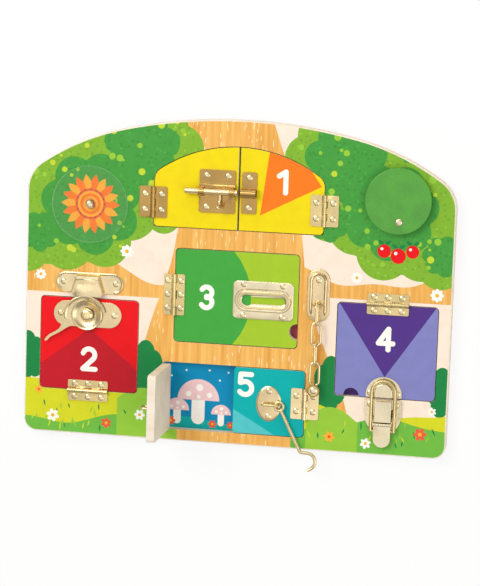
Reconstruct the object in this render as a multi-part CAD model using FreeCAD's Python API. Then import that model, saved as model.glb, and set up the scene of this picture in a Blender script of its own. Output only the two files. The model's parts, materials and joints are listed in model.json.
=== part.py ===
"""Wooden busy board: a panel with seven small doors, each held by its own latch.

The board lies on its back. X runs right, Y runs to the board's top, Z runs out of its face.
The origin is the centre of the back face. Plan heights are given from the board's bottom edge.
"""
import FreeCAD, Part
import math
import os

V = FreeCAD.Vector
Z_AXIS = V(0, 0, 1)

# Board, mm
BOARD_W = 400.0
BOARD_H = 302.7
PANEL_T = 9.0
BACK_T = 3.0
CROWN_R = 476.0
CROWN_HALF_ANGLE = 13.2
HAUNCH_R = 228.0
SHOULDER_R = 32.0
FOOT_R = 12.0
EDGE_ROUND = 1.2

# Doors: openings in the panel as left, bottom, right, top
DOOR_T = 7.5
DOOR_GAP = 0.8
DOOR_CORNER_R = 3.5
DOOR_EDGE_ROUND = 0.6
MIDDLE_GAP = 1.8
OPENING_1 = (-80.0, 200.8, 80.0, 278.6)
ARCH_R = 130.0
ARCH_SHOULDER_R = 13.0
OPENING_2 = (-185.6, 41.8, -90.8, 130.3)
OPENING_3 = (-57.8, 93.9, 59.2, 182.3)
OPENING_4 = (94.8, 53.2, 188.6, 141.2)
OPENING_5 = (-68.2, 10.8, 68.2, 74.6)
NOTCH_R = 7.5
NOTCH_3_Y = 110.0
NOTCH_4_X = 110.6

# Hinges
LEAF_T = 1.0
KNUCKLE_R = 2.1
KNUCKLE_LIFT = 0.15
PIN_R = 1.0
PIN_CLEAR = 0.05
KNUCKLE_GAP = 0.25
LEAF_CLEAR = 0.5
LEAF_CORNER_R = 1.5
LONG_HINGE = 38.5
LONG_LEAF = 9.8
SHORT_HINGE = 29.0
SHORT_LEAF = 13.0
HINGE_1_Y = 223.8
HINGE_2_X = -138.3
HINGE_3_Y = 138.4
HINGE_4_X = 141.7
HINGE_5_Y = 43.2

# Screws
SCREW_R = 1.1
SCREW_HEAD_R = 2.9
SCREW_HEAD_TOP_R = 1.9
SCREW_HEAD_H = 1.1
SCREW_DEPTH = 5.5

# Barrel bolt on door 1
BOLT_Y = 236.5
BOLT_PLATE_X = (-37.0, -3.1)
BOLT_PLATE_H = 40.0
BOLT_PLATE_T = 1.2
BOLT_R = 3.0
BOLT_Z = 4.6
BOLT_TIP_X = 0.0
BOLT_LEN = 50.0
BOLT_CLEAR = 0.3
STRAP_T = 1.0
STRAP_W = 5.0
RAIL_W = 2.2
KNOB_X = -17.0
KNOB_R = 1.5
KNOB_DROP = 14.0
KEEPER_X = (2.6, 16.8)
KEEPER_H = 38.5

# Sash fastener: keeper over door 2, turning lever on it
SASH_X = -140.0
SASH_Y = 114.6
SASH_BASE_L = 65.0
SASH_BASE_W = 24.2
SASH_PLATE_T = 1.2
SASH_SCREW_PITCH = 51.5
LEVER_Z = 2.3
LEVER_T = 2.7
LEVER_BOSS_R = 13.3
LEVER_BOSS_T = 3.6
CRESCENT_R = 21.0
CRESCENT_DROP = 4.2
CRESCENT_FLOOR = -1.5
RIVET_R = 3.0
RIVET_HEAD_R = 8.0
RIVET_HEAD_H = 1.8
RIVET_CLEAR = 0.05
HANDLE_W = 8.5
HANDLE_CURL_R = 2.6
SASH_KEEPER_Y = 144.6
SASH_KEEPER_L = 64.5
SASH_KEEPER_W = 19.5
RIM_W = 1.2
RIM_H = 0.7
HOOD_HALF = 16.5
HOOD_TOP_HALF = 11.0
HOOD_MOUTH_Y = 132.3
HOOD_BACK_Y = 152.6
HOOD_Z = 6.6
HOOD_WALL = 1.1

# Chain guard
SLIDE_C = (25.9, 137.5)
SLIDE_SIZE = (56.8, 35.4)
SLIDE_T = 1.2
SLIDE_CORNER_R = 5.0
RIDGE_LEN = 52.0
RIDGE_W = 21.0
RIDGE_BAND = 3.0
RIDGE_H = 1.3
KEY_HOLE_R = 5.2
KEY_HOLE_X = 11.2
KEY_SLOT_END_X = 45.0
KEY_SLOT_W = 6.6
ANCHOR_C = (77.2, 145.7)
ANCHOR_SIZE = (21.0, 49.4)
ANCHOR_T = 1.2
ANCHOR_BOX = (14.0, 41.0)
ANCHOR_BOX_H = 3.2
STAPLE_Y = 137.0
STAPLE_HALF = 3.9
STAPLE_R = 1.1
LINK_WIRE_R = 1.15
LINK_LEN = 23.4
LINK_HALF = 4.3
LINK_CLEAR = 0.3
CHAIN_Z = 7.0
BUTTON_R = 5.6
BUTTON_T = 2.2
BUTTON_NECK_R = 1.8
BUTTON_NECK_H = 1.6
BUTTON_RING_R = 2.9
BUTTON_WIRE_R = 0.85

# Toggle latch on door 4
LATCH_X = 141.2
LATCH_BASE = (20.2, 52.4)
LATCH_HALF = 16.6
LATCH_T = 1.2
LATCH_PIVOT_Y = 29.2
LATCH_PIVOT_Z = 4.2
LATCH_PIN_R = 1.0
LEVER_HALF = 7.9
LEVER_TIP_Y = 8.4
LATCH_LEVER_T = 2.4
EAR_T = 0.9
EAR_GAP = 0.15
BRIDGE_Y = (31.6, 51.6)
BRIDGE_Z = 5.6
BAIL_PIVOT_Y = 23.5
BAIL_R = 1.55
BAIL_PIN_R = 1.0
BAIL_HALF = 10.8
BAIL_TOP_Y = 70.4
CATCH_BASE_Y = 54.6
CATCH_TOP_Y = 73.6
TONGUE_HALF = 8.3
TONGUE_Z = 5.0

# Hook and eyes on door 5
EYE_C = (34.4, 41.2)
EYE_SIZE = (23.6, 33.4)
EYE_T = 1.2
EYE_LEG_X = 44.2
EYE_SPAN = 15.0
EYE_WIRE_R = 1.2
EYE_TOP_Z = 8.4
RING_R = 4.0
HOOK_WIRE_R = 1.3
HOOK_TIP_R = 1.45
HOOK_Z = 3.9
HOOK_ANGLE = -63.1
HOOK_CLEAR = 0.15
HOOK_SHAFT = 41.4
HOOK_BEND_R = 6.0
HOOK_KICK = 65.0
HOOK_LAST = -80.0
HOOK_TAIL = 3.5
CATCH_EYE_FROM_HINGE = 52.0
CATCH_EYE_SIZE = (14.0, 24.0)

# Spinning discs
CLEAR_C = (-139.7, 218.6)
CLEAR_R = 35.8
CLEAR_T = 3.0
GREEN_C = (147.6, 236.8)
GREEN_R = 30.3
GREEN_T = 6.0
GREEN_PIVOT = (149.2, 218.0)
DISC_STAND = 1.5
DISC_WASHER_R = 4.0
DISC_SCREW_R = 2.0
DISC_HEAD_R = 3.6
DISC_HEAD_H = 1.6
DISC_CLEAR = 0.1

FACE = BACK_T + PANEL_T
DOOR_BACK = FACE - DOOR_T
AXIS_Z = FACE + KNUCKLE_R + KNUCKLE_LIFT
OPEN_5_LEFT = 90.0


def up(y):
    """Frame Y of a height above the board's bottom edge."""
    return y - BOARD_H / 2


def cyl(x, y, z0, z1, r):
    return Part.makeCylinder(r, z1 - z0, V(x, up(y), z0), Z_AXIS)


def box(x0, y0, z0, x1, y1, z1):
    return Part.makeBox(x1 - x0, y1 - y0, z1 - z0, V(x0, up(y0), z0))


def rod(x0, x1, y, z, r):
    """A round bar along X."""
    return Part.makeCylinder(r, x1 - x0, V(x0, up(y), z), V(1, 0, 0))


def fuse(shapes):
    out = shapes[0].multiFuse(shapes[1:]) if len(shapes) > 1 else shapes[0]
    return out.removeSplitter()


def outline(points):
    """A closed wire of straight edges through plan points, heights from the bottom edge."""
    ring = [V(x, up(y), 0) for x, y in points]
    return Part.makePolygon(ring + ring[:1])


def prism(wire, z0, z1):
    face = Part.Face(wire)
    face.translate(V(0, 0, z0))
    return face.extrude(V(0, 0, z1 - z0))


def round_corners(solid, r, keep=None):
    """Round the upright edges, or only those that keep(x, y) accepts."""
    picked = []
    for e in solid.Edges:
        a, b = e.Vertexes[0].Point, e.Vertexes[-1].Point
        upright = abs(a.x - b.x) < 1e-6 and abs(a.y - b.y) < 1e-6 and abs(a.z - b.z) > 1e-6
        if upright and (keep is None or keep(a.x, a.y + BOARD_H / 2)):
            picked.append(e)
    return solid.makeFillet(r, picked)


def plate(x0, y0, x1, y1, z0, z1, r):
    return round_corners(box(x0, y0, z0, x1, y1, z1), r)


def stadium(cx, cy, length, width, z0, z1, along="x"):
    """A flat bar with round ends."""
    half = (length - width) / 2
    if along == "x":
        ends = [(cx - half, cy), (cx + half, cy)]
        bar = box(cx - half, cy - width / 2, z0, cx + half, cy + width / 2, z1)
    else:
        ends = [(cx, cy - half), (cx, cy + half)]
        bar = box(cx - width / 2, cy - half, z0, cx + width / 2, cy + half, z1)
    return fuse([bar] + [cyl(x, y, z0, z1, width / 2) for x, y in ends])


def oval(cx, cy, width, height, z0, z1):
    """An egg-round plate: an ellipse, taller than wide."""
    e = Part.Ellipse(V(cx, up(cy), 0), height / 2, width / 2)
    turned = Part.Wire([e.toShape()])
    turned.rotate(V(cx, up(cy), 0), Z_AXIS, 90)
    return prism(turned, z0, z1)


def soften(solid, z, r):
    """Round the outer edges that lie in the plane z."""
    edges = [e for e in solid.Edges if abs(e.BoundBox.ZMin - z) < 1e-6 and abs(e.BoundBox.ZMax - z) < 1e-6]
    return solid.makeFillet(r, edges)


def sweep(edges, start, direction, r):
    """A round wire of radius r along a path of lines and arcs."""
    ring = Part.Wire([Part.Circle(start, direction, r).toShape()])
    return Part.Wire(edges).makePipeShell([ring], True, True)


def line(a, b):
    return Part.LineSegment(a, b).toShape()


def arc(a, mid, b):
    return Part.Arc(a, mid, b).toShape()


# Screws and their pilot holes
screw_spots = {}
FRAME = "board_screws"


def screw_holes(carrier, spots, top):
    """Note each screw's place and return the holes that its plate needs."""
    screw_spots.setdefault(carrier, []).extend((x, y, top) for x, y in spots)
    return [cyl(x, y, FACE, top, SCREW_R) for x, y in spots]


def screw(x, y, top):
    """A round-headed wood screw through a plate whose top is at the given height."""
    head = Part.makeCone(SCREW_HEAD_R, SCREW_HEAD_TOP_R, SCREW_HEAD_H, V(x, up(y), top), Z_AXIS)
    return fuse([head, cyl(x, y, FACE - SCREW_DEPTH, top, SCREW_R)])


def pilots(carrier):
    return [cyl(x, y, FACE - SCREW_DEPTH, FACE, SCREW_R) for x, y, _ in screw_spots.get(carrier, [])]


# Board and doors
def board_outline():
    """Straight sides and foot, and a crown of three tangent radii each side."""
    half = BOARD_W / 2
    turn = math.radians(CROWN_HALF_ANGLE)
    away = V(math.sin(turn), math.cos(turn), 0)
    crown_c = V(0, up(BOARD_H - CROWN_R), 0)
    haunch_c = crown_c + away * (CROWN_R - HAUNCH_R)
    shoulder_x = half - SHOULDER_R
    rise = math.sqrt((HAUNCH_R - SHOULDER_R) ** 2 - (shoulder_x - haunch_c.x) ** 2)
    shoulder_c = V(shoulder_x, haunch_c.y + rise, 0)
    out = (shoulder_c - haunch_c).normalize()

    def on(c, r, u):
        return c + u * r

    def between(u, w):
        return (u + w).normalize()

    side = V(1, 0, 0)
    top = V(0, 1, 0)
    right = [
        arc(on(shoulder_c, SHOULDER_R, side), on(shoulder_c, SHOULDER_R, between(side, out)),
            on(shoulder_c, SHOULDER_R, out)),
        arc(on(haunch_c, HAUNCH_R, out), on(haunch_c, HAUNCH_R, between(out, away)),
            on(haunch_c, HAUNCH_R, away)),
        arc(on(crown_c, CROWN_R, away), on(crown_c, CROWN_R, between(away, top)),
            on(crown_c, CROWN_R, top)),
    ]
    foot_y = up(0)
    foot_c = V(half - FOOT_R, foot_y + FOOT_R, 0)
    down = V(0, -1, 0)
    right = [
        line(V(0, foot_y, 0), on(foot_c, FOOT_R, down)),
        arc(on(foot_c, FOOT_R, down), on(foot_c, FOOT_R, between(down, side)), on(foot_c, FOOT_R, side)),
        line(on(foot_c, FOOT_R, side), on(shoulder_c, SHOULDER_R, side)),
    ] + right
    left = [e.mirror(V(0, 0, 0), V(1, 0, 0)) for e in right]
    return Part.Wire(Part.__sortEdges__(right + left))


def arch_wire(opening, inset):
    """The arched opening of door 1, drawn inwards by inset."""
    x0, y0, x1, y1 = opening
    half = (x1 - x0) / 2 - inset
    r = ARCH_R - inset
    cy = y1 - ARCH_R
    side_y = cy + math.sqrt(r ** 2 - half ** 2)
    foot = y0 + inset
    edges = [
        line(V(-half, up(foot), 0), V(half, up(foot), 0)),
        line(V(half, up(foot), 0), V(half, up(side_y), 0)),
        arc(V(half, up(side_y), 0), V(0, up(cy + r), 0), V(-half, up(side_y), 0)),
        line(V(-half, up(side_y), 0), V(-half, up(foot), 0)),
    ]
    return Part.Wire(edges), side_y


def arch_solid(inset, z0, z1):
    wire, side_y = arch_wire(OPENING_1, inset)
    solid = prism(wire, z0, z1)
    solid = round_corners(solid, ARCH_SHOULDER_R - inset, lambda x, y: abs(y - side_y) < 0.01)
    return round_corners(solid, DOOR_CORNER_R, lambda x, y: y < OPENING_1[1] + inset + 0.01)


def square_hole(opening, z0, z1):
    x0, y0, x1, y1 = opening
    return plate(x0, y0, x1, y1, z0, z1, DOOR_CORNER_R + DOOR_GAP)


def door_slab(x0, y0, x1, y1):
    return plate(x0, y0, x1, y1, DOOR_BACK, FACE, DOOR_CORNER_R)


def square_door(opening):
    x0, y0, x1, y1 = opening
    return door_slab(x0 + DOOR_GAP, y0 + DOOR_GAP, x1 - DOOR_GAP, y1 - DOOR_GAP)


def panels():
    panel = prism(board_outline(), BACK_T, FACE)
    holes = [arch_solid(0, BACK_T, FACE)]
    holes += [square_hole(o, BACK_T, FACE) for o in (OPENING_2, OPENING_3, OPENING_4, OPENING_5)]
    seats = [cyl(*CLEAR_C, FACE - SCREW_DEPTH, FACE, DISC_SCREW_R)]
    seats += [cyl(*GREEN_PIVOT, FACE - SCREW_DEPTH, FACE, DISC_SCREW_R)]
    panel = soften(panel, FACE, EDGE_ROUND).cut(fuse(holes)).cut(Part.makeCompound(seats + pilots(FRAME)))
    back = soften(prism(board_outline(), 0, BACK_T), 0, EDGE_ROUND)
    return panel, back


def doors():
    arch = arch_solid(DOOR_GAP, DOOR_BACK, FACE)
    x0, y0, x1, y1 = OPENING_1
    left_1 = arch.common(box(x0, y0, 0, -MIDDLE_GAP / 2, y1, FACE + 1))
    right_1 = arch.common(box(MIDDLE_GAP / 2, y0, 0, x1, y1, FACE + 1))
    notch_3 = cyl(OPENING_3[2] - DOOR_GAP, NOTCH_3_Y, 0, FACE, NOTCH_R)
    notch_4 = cyl(NOTCH_4_X, OPENING_4[1] + DOOR_GAP, 0, FACE, NOTCH_R)
    x0, y0, x1, y1 = OPENING_5
    low, high = y0 + DOOR_GAP, y1 - DOOR_GAP
    slabs = {
        "door_1_left": left_1,
        "door_1_right": right_1,
        "door_2": square_door(OPENING_2),
        "door_3": square_door(OPENING_3).cut(notch_3),
        "door_4": square_door(OPENING_4).cut(notch_4),
        "door_5_left": door_slab(x0 + DOOR_GAP, low, -MIDDLE_GAP / 2, high),
        "door_5_right": door_slab(MIDDLE_GAP / 2, low, x1 - DOOR_GAP, high),
    }
    out = {}
    for name, slab in slabs.items():
        holes = pilots(name)
        out[name] = slab.cut(Part.makeCompound(holes)) if holes else slab
    return out


# Hinges
def hinge(x, y, turn, length, leaf_w, rows, frame_screws, door_screws):
    """Frame leaf, door leaf and pin. Built with the pin along X and the frame leaf up Y, then turned."""
    spans = 5
    span = length / spans
    at = V(x, up(y), 0)
    leaves = []
    inner = KNUCKLE_R + LEAF_CLEAR
    for side, own in ((1, (0, 2, 4)), (-1, (1, 3))):
        low, high = sorted((side * inner, side * leaf_w))
        leaf = Part.makeBox(length, high - low, LEAF_T, V(-length / 2, low, FACE))
        outer = [e for e in leaf.Edges
                 if abs(e.BoundBox.YMin - side * leaf_w) < 1e-6 and abs(e.BoundBox.YMax - side * leaf_w) < 1e-6
                 and e.BoundBox.ZLength > LEAF_T / 2]
        parts = [leaf.makeFillet(LEAF_CORNER_R, outer)]
        for k in own:
            a = -length / 2 + k * span + (KNUCKLE_GAP / 2 if k else 0)
            b = -length / 2 + (k + 1) * span - (KNUCKLE_GAP / 2 if k < spans - 1 else 0)
            parts.append(Part.makeCylinder(KNUCKLE_R, b - a, V(a, 0, AXIS_Z), V(1, 0, 0)))
            low, high = sorted((0, side * inner))
            parts.append(Part.makeBox(b - a, high - low, LEAF_T, V(a, low, FACE + KNUCKLE_LIFT)))
        solid = fuse(parts)
        bore = Part.makeCylinder(PIN_R + (PIN_CLEAR if side < 0 else 0), length, V(-length / 2, 0, AXIS_Z),
                                 V(1, 0, 0))
        leaves.append(solid.cut(bore))
    pin = Part.makeCylinder(PIN_R, length, V(-length / 2, 0, AXIS_Z), V(1, 0, 0))
    step = length / rows
    centre_line = (inner + leaf_w) / 2
    turned = []
    c, s = math.cos(math.radians(turn)), math.sin(math.radians(turn))
    for shape in leaves + [pin]:
        shape = shape.copy()
        shape.rotate(V(0, 0, 0), Z_AXIS, turn)
        shape.translate(at)
        turned.append(shape)
    for k, (side, carrier) in enumerate(((1, frame_screws), (-1, door_screws))):
        spots = []
        for n in range(rows):
            u, w = -length / 2 + (n + 0.5) * step, side * centre_line
            spots.append((x + u * c - w * s, y + u * s + w * c))
        turned[k] = turned[k].cut(Part.makeCompound(screw_holes(carrier, spots, FACE + LEAF_T)))
    return turned


HINGES = {
    "hinge_1_left": (OPENING_1[0], HINGE_1_Y, 90, SHORT_HINGE, SHORT_LEAF, 2, "door_1_left"),
    "hinge_1_right": (OPENING_1[2], HINGE_1_Y, -90, SHORT_HINGE, SHORT_LEAF, 2, "door_1_right"),
    "hinge_2": (HINGE_2_X, OPENING_2[1], 180, LONG_HINGE, LONG_LEAF, 3, "door_2"),
    "hinge_3": (OPENING_3[0], HINGE_3_Y, 90, LONG_HINGE, LONG_LEAF, 3, "door_3"),
    "hinge_4": (HINGE_4_X, OPENING_4[3], 0, LONG_HINGE, LONG_LEAF, 3, "door_4"),
    "hinge_5_left": (OPENING_5[0], HINGE_5_Y, 90, SHORT_HINGE, SHORT_LEAF, 2, "door_5_left"),
    "hinge_5_right": (OPENING_5[2], HINGE_5_Y, -90, SHORT_HINGE, SHORT_LEAF, 2, "door_5_right"),
}


# Barrel bolt
def strap(x0, x1, y, inner_r, z, foot_z):
    """A bridge over the bolt: a half round on two upright walls."""
    outer_r = inner_r + STRAP_T
    walls = box(x0, y - outer_r, foot_z, x1, y + outer_r, z)
    body = fuse([walls, rod(x0, x1, y, z, outer_r)])
    space = fuse([rod(x0, x1, y, z, inner_r), box(x0, y - inner_r, foot_z, x1, y + inner_r, z)])
    return body.cut(space)


def bolt_parts():
    x0, x1 = BOLT_PLATE_X
    top = FACE + BOLT_PLATE_T
    z = FACE + BOLT_Z
    inner = BOLT_R + BOLT_CLEAR
    base = plate(x0, BOLT_Y - BOLT_PLATE_H / 2, x1, BOLT_Y + BOLT_PLATE_H / 2, FACE, top, 2.0)
    reach = inner + STRAP_T
    rails = [box(x0, BOLT_Y + side * (reach + RAIL_W / 2) - RAIL_W / 2, top, x1,
                 BOLT_Y + side * (reach + RAIL_W / 2) + RAIL_W / 2, top + 1.4) for side in (1, -1)]
    knob_slot = box(x0 + STRAP_W, BOLT_Y - reach - RAIL_W, top, x1 - STRAP_W, BOLT_Y - inner, z)
    straps = [strap(x0, x0 + STRAP_W, BOLT_Y, inner, z, top), strap(x1 - STRAP_W, x1, BOLT_Y, inner, z, top)]
    low_rail = rails[1].cut(knob_slot)
    body = fuse([base, rails[0], low_rail] + straps)
    ends = (x0 + 7.0, x1 - 7.0)
    spots = [(x, BOLT_Y + side * (BOLT_PLATE_H / 2 - 5.4)) for x, side in
             ((ends[0], 1), (ends[1], 1), (ends[0], -1))]
    body = body.cut(Part.makeCompound(screw_holes("door_1_left", spots, top)))
    bar = rod(BOLT_TIP_X - BOLT_LEN, BOLT_TIP_X, BOLT_Y, z, BOLT_R)
    bar = bar.makeChamfer(0.6, [e for e in bar.Edges if e.BoundBox.XLength < 1e-6])
    a = V(KNOB_X, up(BOLT_Y), z)
    b = V(KNOB_X, up(BOLT_Y - 8.0), z)
    c = V(KNOB_X, up(BOLT_Y - KNOB_DROP + 1.2), z + 3.0)
    d = V(KNOB_X, up(BOLT_Y - KNOB_DROP), z + 6.0)
    arm = sweep([line(a, b), arc(b, c, d)], a, V(0, -1, 0), KNOB_R)
    bolt = fuse([bar, arm, Part.makeSphere(KNOB_R * 1.5, d)])
    k0, k1 = KEEPER_X
    keep = plate(k0, BOLT_Y - KEEPER_H / 2, k1, BOLT_Y + KEEPER_H / 2, FACE, top, 2.0)
    keep = fuse([keep, strap(k0, k1, BOLT_Y, inner, z, top)])
    middle = (k0 + k1) / 2
    spots = [(middle, BOLT_Y + side * (KEEPER_H / 2 - 5.2)) for side in (1, -1)]
    keep = keep.cut(Part.makeCompound(screw_holes("door_1_right", spots, top)))
    return {"bolt_plate": body, "bolt_rod": bolt, "bolt_keeper": keep}


# Sash fastener
def hood_wire(half, top_half, low, high, z):
    ring = [V(SASH_X - half, up(low + 3.5), z), V(SASH_X - half + 4, up(low), z),
            V(SASH_X + half - 4, up(low), z), V(SASH_X + half, up(low + 3.5), z),
            V(SASH_X + top_half, up(high), z), V(SASH_X - top_half, up(high), z)]
    return Part.makePolygon(ring + ring[:1])


def sash_parts():
    top = FACE + SASH_PLATE_T
    base = stadium(SASH_X, SASH_Y, SASH_BASE_L, SASH_BASE_W, FACE, top)
    half = SASH_SCREW_PITCH / 2
    spots = [(SASH_X - half, SASH_Y), (SASH_X + half, SASH_Y)]
    base = base.cut(Part.makeCompound(screw_holes("door_2", spots, top)))
    z0 = FACE + LEVER_Z
    z1 = z0 + LEVER_T
    boss_top = z0 + LEVER_BOSS_T
    crescent = cyl(SASH_X - 1, SASH_Y - CRESCENT_DROP, z0, z1, CRESCENT_R)
    crescent = crescent.common(box(SASH_X - 30, SASH_Y + CRESCENT_FLOOR, z0, SASH_X + 30, SASH_Y + 30, z1))
    boss = cyl(SASH_X, SASH_Y, z0, boss_top, LEVER_BOSS_R)
    boss = soften(boss, boss_top, 0.8)
    arm_points = [(-23.0, 3.0), (-24.0, -5.0), (-27.5, -12.0), (-33.5, -20.0), (-39.5, -25.5)]
    near = [(-39.5 + 5.2, -25.5 - 6.4), (-26.5, -22.0), (-18.0, -13.5), (-13.0, -3.0)]
    outer = Part.BSplineCurve()
    outer.interpolate([V(SASH_X + x, up(SASH_Y + y), 0) for x, y in arm_points])
    inner = Part.BSplineCurve()
    inner.interpolate([V(SASH_X + x, up(SASH_Y + y), 0) for x, y in near])
    a, b = V(SASH_X - 39.5, up(SASH_Y - 25.5), 0), V(SASH_X - 39.5 + 5.2, up(SASH_Y - 31.9), 0)
    c, d = V(SASH_X - 13.0, up(SASH_Y - 3.0), 0), V(SASH_X - 23.0, up(SASH_Y + 3.0), 0)
    handle_wire = Part.Wire([outer.toShape(), line(a, b), inner.toShape(), line(c, d)])
    handle = prism(handle_wire, z0, z1)
    across = (b - a).normalize()
    curl = Part.makeCylinder(HANDLE_CURL_R, (b - a).Length, a + V(0, 0, z0 + HANDLE_CURL_R), across)
    lever = fuse([boss, crescent, handle, curl])
    lever = lever.cut(cyl(SASH_X, SASH_Y, z0 - 1, boss_top + 1, RIVET_R + RIVET_CLEAR))
    head_z = boss_top + 0.1
    head = soften(cyl(SASH_X, SASH_Y, head_z, head_z + RIVET_HEAD_H, RIVET_HEAD_R), head_z + RIVET_HEAD_H, 1.2)
    spacer = cyl(SASH_X, SASH_Y, top, z0 - 0.1, RIVET_R * 2)
    rivet = fuse([head, spacer, cyl(SASH_X, SASH_Y, top, head_z, RIVET_R)])
    low = SASH_KEEPER_Y
    keep = stadium(SASH_X + 1.4, low, SASH_KEEPER_L, SASH_KEEPER_W, FACE, top)
    rim = stadium(SASH_X + 1.4, low, SASH_KEEPER_L, SASH_KEEPER_W, top, top + RIM_H)
    rim = rim.cut(stadium(SASH_X + 1.4, low, SASH_KEEPER_L - 2 * RIM_W, SASH_KEEPER_W - 2 * RIM_W,
                          top, top + RIM_H))
    wall = HOOD_WALL
    outside = Part.makeLoft([hood_wire(HOOD_HALF, HOOD_TOP_HALF, HOOD_MOUTH_Y, HOOD_BACK_Y, top),
                             hood_wire(HOOD_HALF - 1, HOOD_TOP_HALF - 2, HOOD_MOUTH_Y, HOOD_BACK_Y - 2,
                                       FACE + HOOD_Z)], True, True)
    space = box(SASH_X - HOOD_HALF + 2 * wall, HOOD_MOUTH_Y - 1, top, SASH_X + HOOD_HALF - 2 * wall,
                SASH_KEEPER_Y - 1.0, FACE + HOOD_Z - wall)
    keep = fuse([keep, rim, outside]).cut(space)
    gap_side = box(SASH_X - 26, HOOD_MOUTH_Y - 3, top, SASH_X + 27, SASH_KEEPER_Y - SASH_KEEPER_W / 2 + RIM_W,
                   top + RIM_H)
    keep = keep.cut(gap_side.cut(outside))
    half = SASH_SCREW_PITCH / 2 - 0.7
    spots = [(SASH_X + 1.4 - half, low), (SASH_X + 1.4 + half, low)]
    keep = keep.cut(Part.makeCompound(screw_holes(FRAME, spots, top)))
    return {"sash_base": base, "sash_lever": lever, "sash_rivet": rivet, "sash_keeper": keep}


# Chain guard
def link(cy, edge_on):
    """A chain link about its centre, its long side down Y, lying flat or standing on edge."""
    half = LINK_HALF
    run = LINK_LEN / 2 - LINK_WIRE_R - half
    sides = [Part.makeCylinder(LINK_WIRE_R, 2 * run, V(s * half, -run, 0), V(0, 1, 0)) for s in (1, -1)]
    ends = []
    for s in (1, -1):
        a, b = V(-half, s * run, 0), V(half, s * run, 0)
        ends.append(sweep([arc(a, V(0, s * (run + half), 0), b)], a, V(0, s, 0), LINK_WIRE_R))
    ring = fuse(sides + ends)
    if edge_on:
        ring.rotate(V(0, 0, 0), V(0, 1, 0), 90)
    ring.translate(V(ANCHOR_C[0], up(cy), FACE + CHAIN_Z))
    return ring


def link_centre(n):
    """Height of link n's centre: the first hangs from the staple, the rest from each other."""
    first = STAPLE_Y + STAPLE_R + LINK_CLEAR / 2 + 2 * LINK_WIRE_R - LINK_LEN / 2
    return first - n * (LINK_LEN - 4 * LINK_WIRE_R - LINK_CLEAR)


def chain_parts():
    cx, cy = SLIDE_C
    w, h = SLIDE_SIZE
    top = FACE + SLIDE_T
    slide = plate(cx - w / 2, cy - h / 2, cx + w / 2, cy + h / 2, FACE, top, SLIDE_CORNER_R)
    ridge = stadium(cx + 1.3, cy, RIDGE_LEN, RIDGE_W, top, top + RIDGE_H)
    ridge = ridge.cut(stadium(cx + 1.3, cy, RIDGE_LEN - 2 * RIDGE_BAND, RIDGE_W - 2 * RIDGE_BAND,
                              top, top + RIDGE_H))
    slot_mid = (KEY_HOLE_X + KEY_SLOT_END_X) / 2
    lip = stadium(slot_mid, cy, KEY_SLOT_END_X - KEY_HOLE_X + 15, KEY_SLOT_W + 5.4, top, top + 1.0)
    slide = fuse([slide, ridge, lip])
    slot = stadium(slot_mid, cy, KEY_SLOT_END_X - KEY_HOLE_X + KEY_SLOT_W / 2, KEY_SLOT_W, FACE, FACE + 6)
    slide = slide.cut(slot).cut(cyl(KEY_HOLE_X, cy, FACE, FACE + 6, KEY_HOLE_R))
    inset = 4.2
    spots = [(cx + sx * (w / 2 - inset - 6), cy + sy * (h / 2 - inset + 1.1)) for sx in (1, -1) for sy in (1, -1)]
    slide = slide.cut(Part.makeCompound(screw_holes("door_3", spots, top)))
    ax, ay = ANCHOR_C
    aw, ah = ANCHOR_SIZE
    base_top = FACE + ANCHOR_T
    anchor = stadium(ax, ay, ah, aw, FACE, base_top, "y")
    bw, bh = ANCHOR_BOX
    case_top = base_top + ANCHOR_BOX_H - 1.6
    case = stadium(ax, ay, bh, bw, base_top, case_top, "y")
    case = case.cut(stadium(ax, ay, bh - 3.0, bw - 3.0, base_top, case_top, "y"))
    mouth = box(ax - LINK_HALF - 1, ay - ah / 2 - 1, base_top, ax + LINK_HALF + 1, STAPLE_Y, case_top)
    z = FACE + CHAIN_Z
    foot = V(0, 0, base_top - 0.4)
    a, d = V(ax - STAPLE_HALF, up(STAPLE_Y), 0), V(ax + STAPLE_HALF, up(STAPLE_Y), 0)
    b, c = a + V(0, 0, z - STAPLE_HALF), d + V(0, 0, z - STAPLE_HALF)
    bow = arc(b, V(ax, up(STAPLE_Y), z), c)
    staple = sweep([line(a + foot, b), bow, line(c, d + foot)], a + foot, Z_AXIS, STAPLE_R)
    anchor = fuse([anchor, case.cut(mouth), staple])
    spots = [(ax, ay + 14.2)]
    anchor = anchor.cut(Part.makeCompound(screw_holes(FRAME, spots, base_top)))
    out = {"chain_slide_plate": slide, "chain_anchor": anchor}
    for n in range(4):
        out["chain_link_%d" % (n + 1)] = link(link_centre(n), n % 2 == 0)
    return out


def button():
    """The chain's end: a disc on a neck, with a loop that the last link passes through."""
    x, z = ANCHOR_C[0], FACE + CHAIN_Z
    held = link_centre(3) - LINK_LEN / 2 + LINK_WIRE_R
    y = held + LINK_WIRE_R + BUTTON_WIRE_R + LINK_CLEAR / 2 - BUTTON_RING_R
    ring = Part.makeTorus(BUTTON_RING_R, BUTTON_WIRE_R, V(x, up(y), z), V(1, 0, 0))
    neck_y = y - BUTTON_RING_R - BUTTON_NECK_R / 2
    disc_z = z + BUTTON_NECK_H
    disc = soften(cyl(x, neck_y, disc_z, disc_z + BUTTON_T, BUTTON_R), disc_z + BUTTON_T, 0.6)
    neck = cyl(x, neck_y, z - BUTTON_NECK_R / 2, disc_z, BUTTON_NECK_R)
    return fuse([ring, disc, neck])


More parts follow.
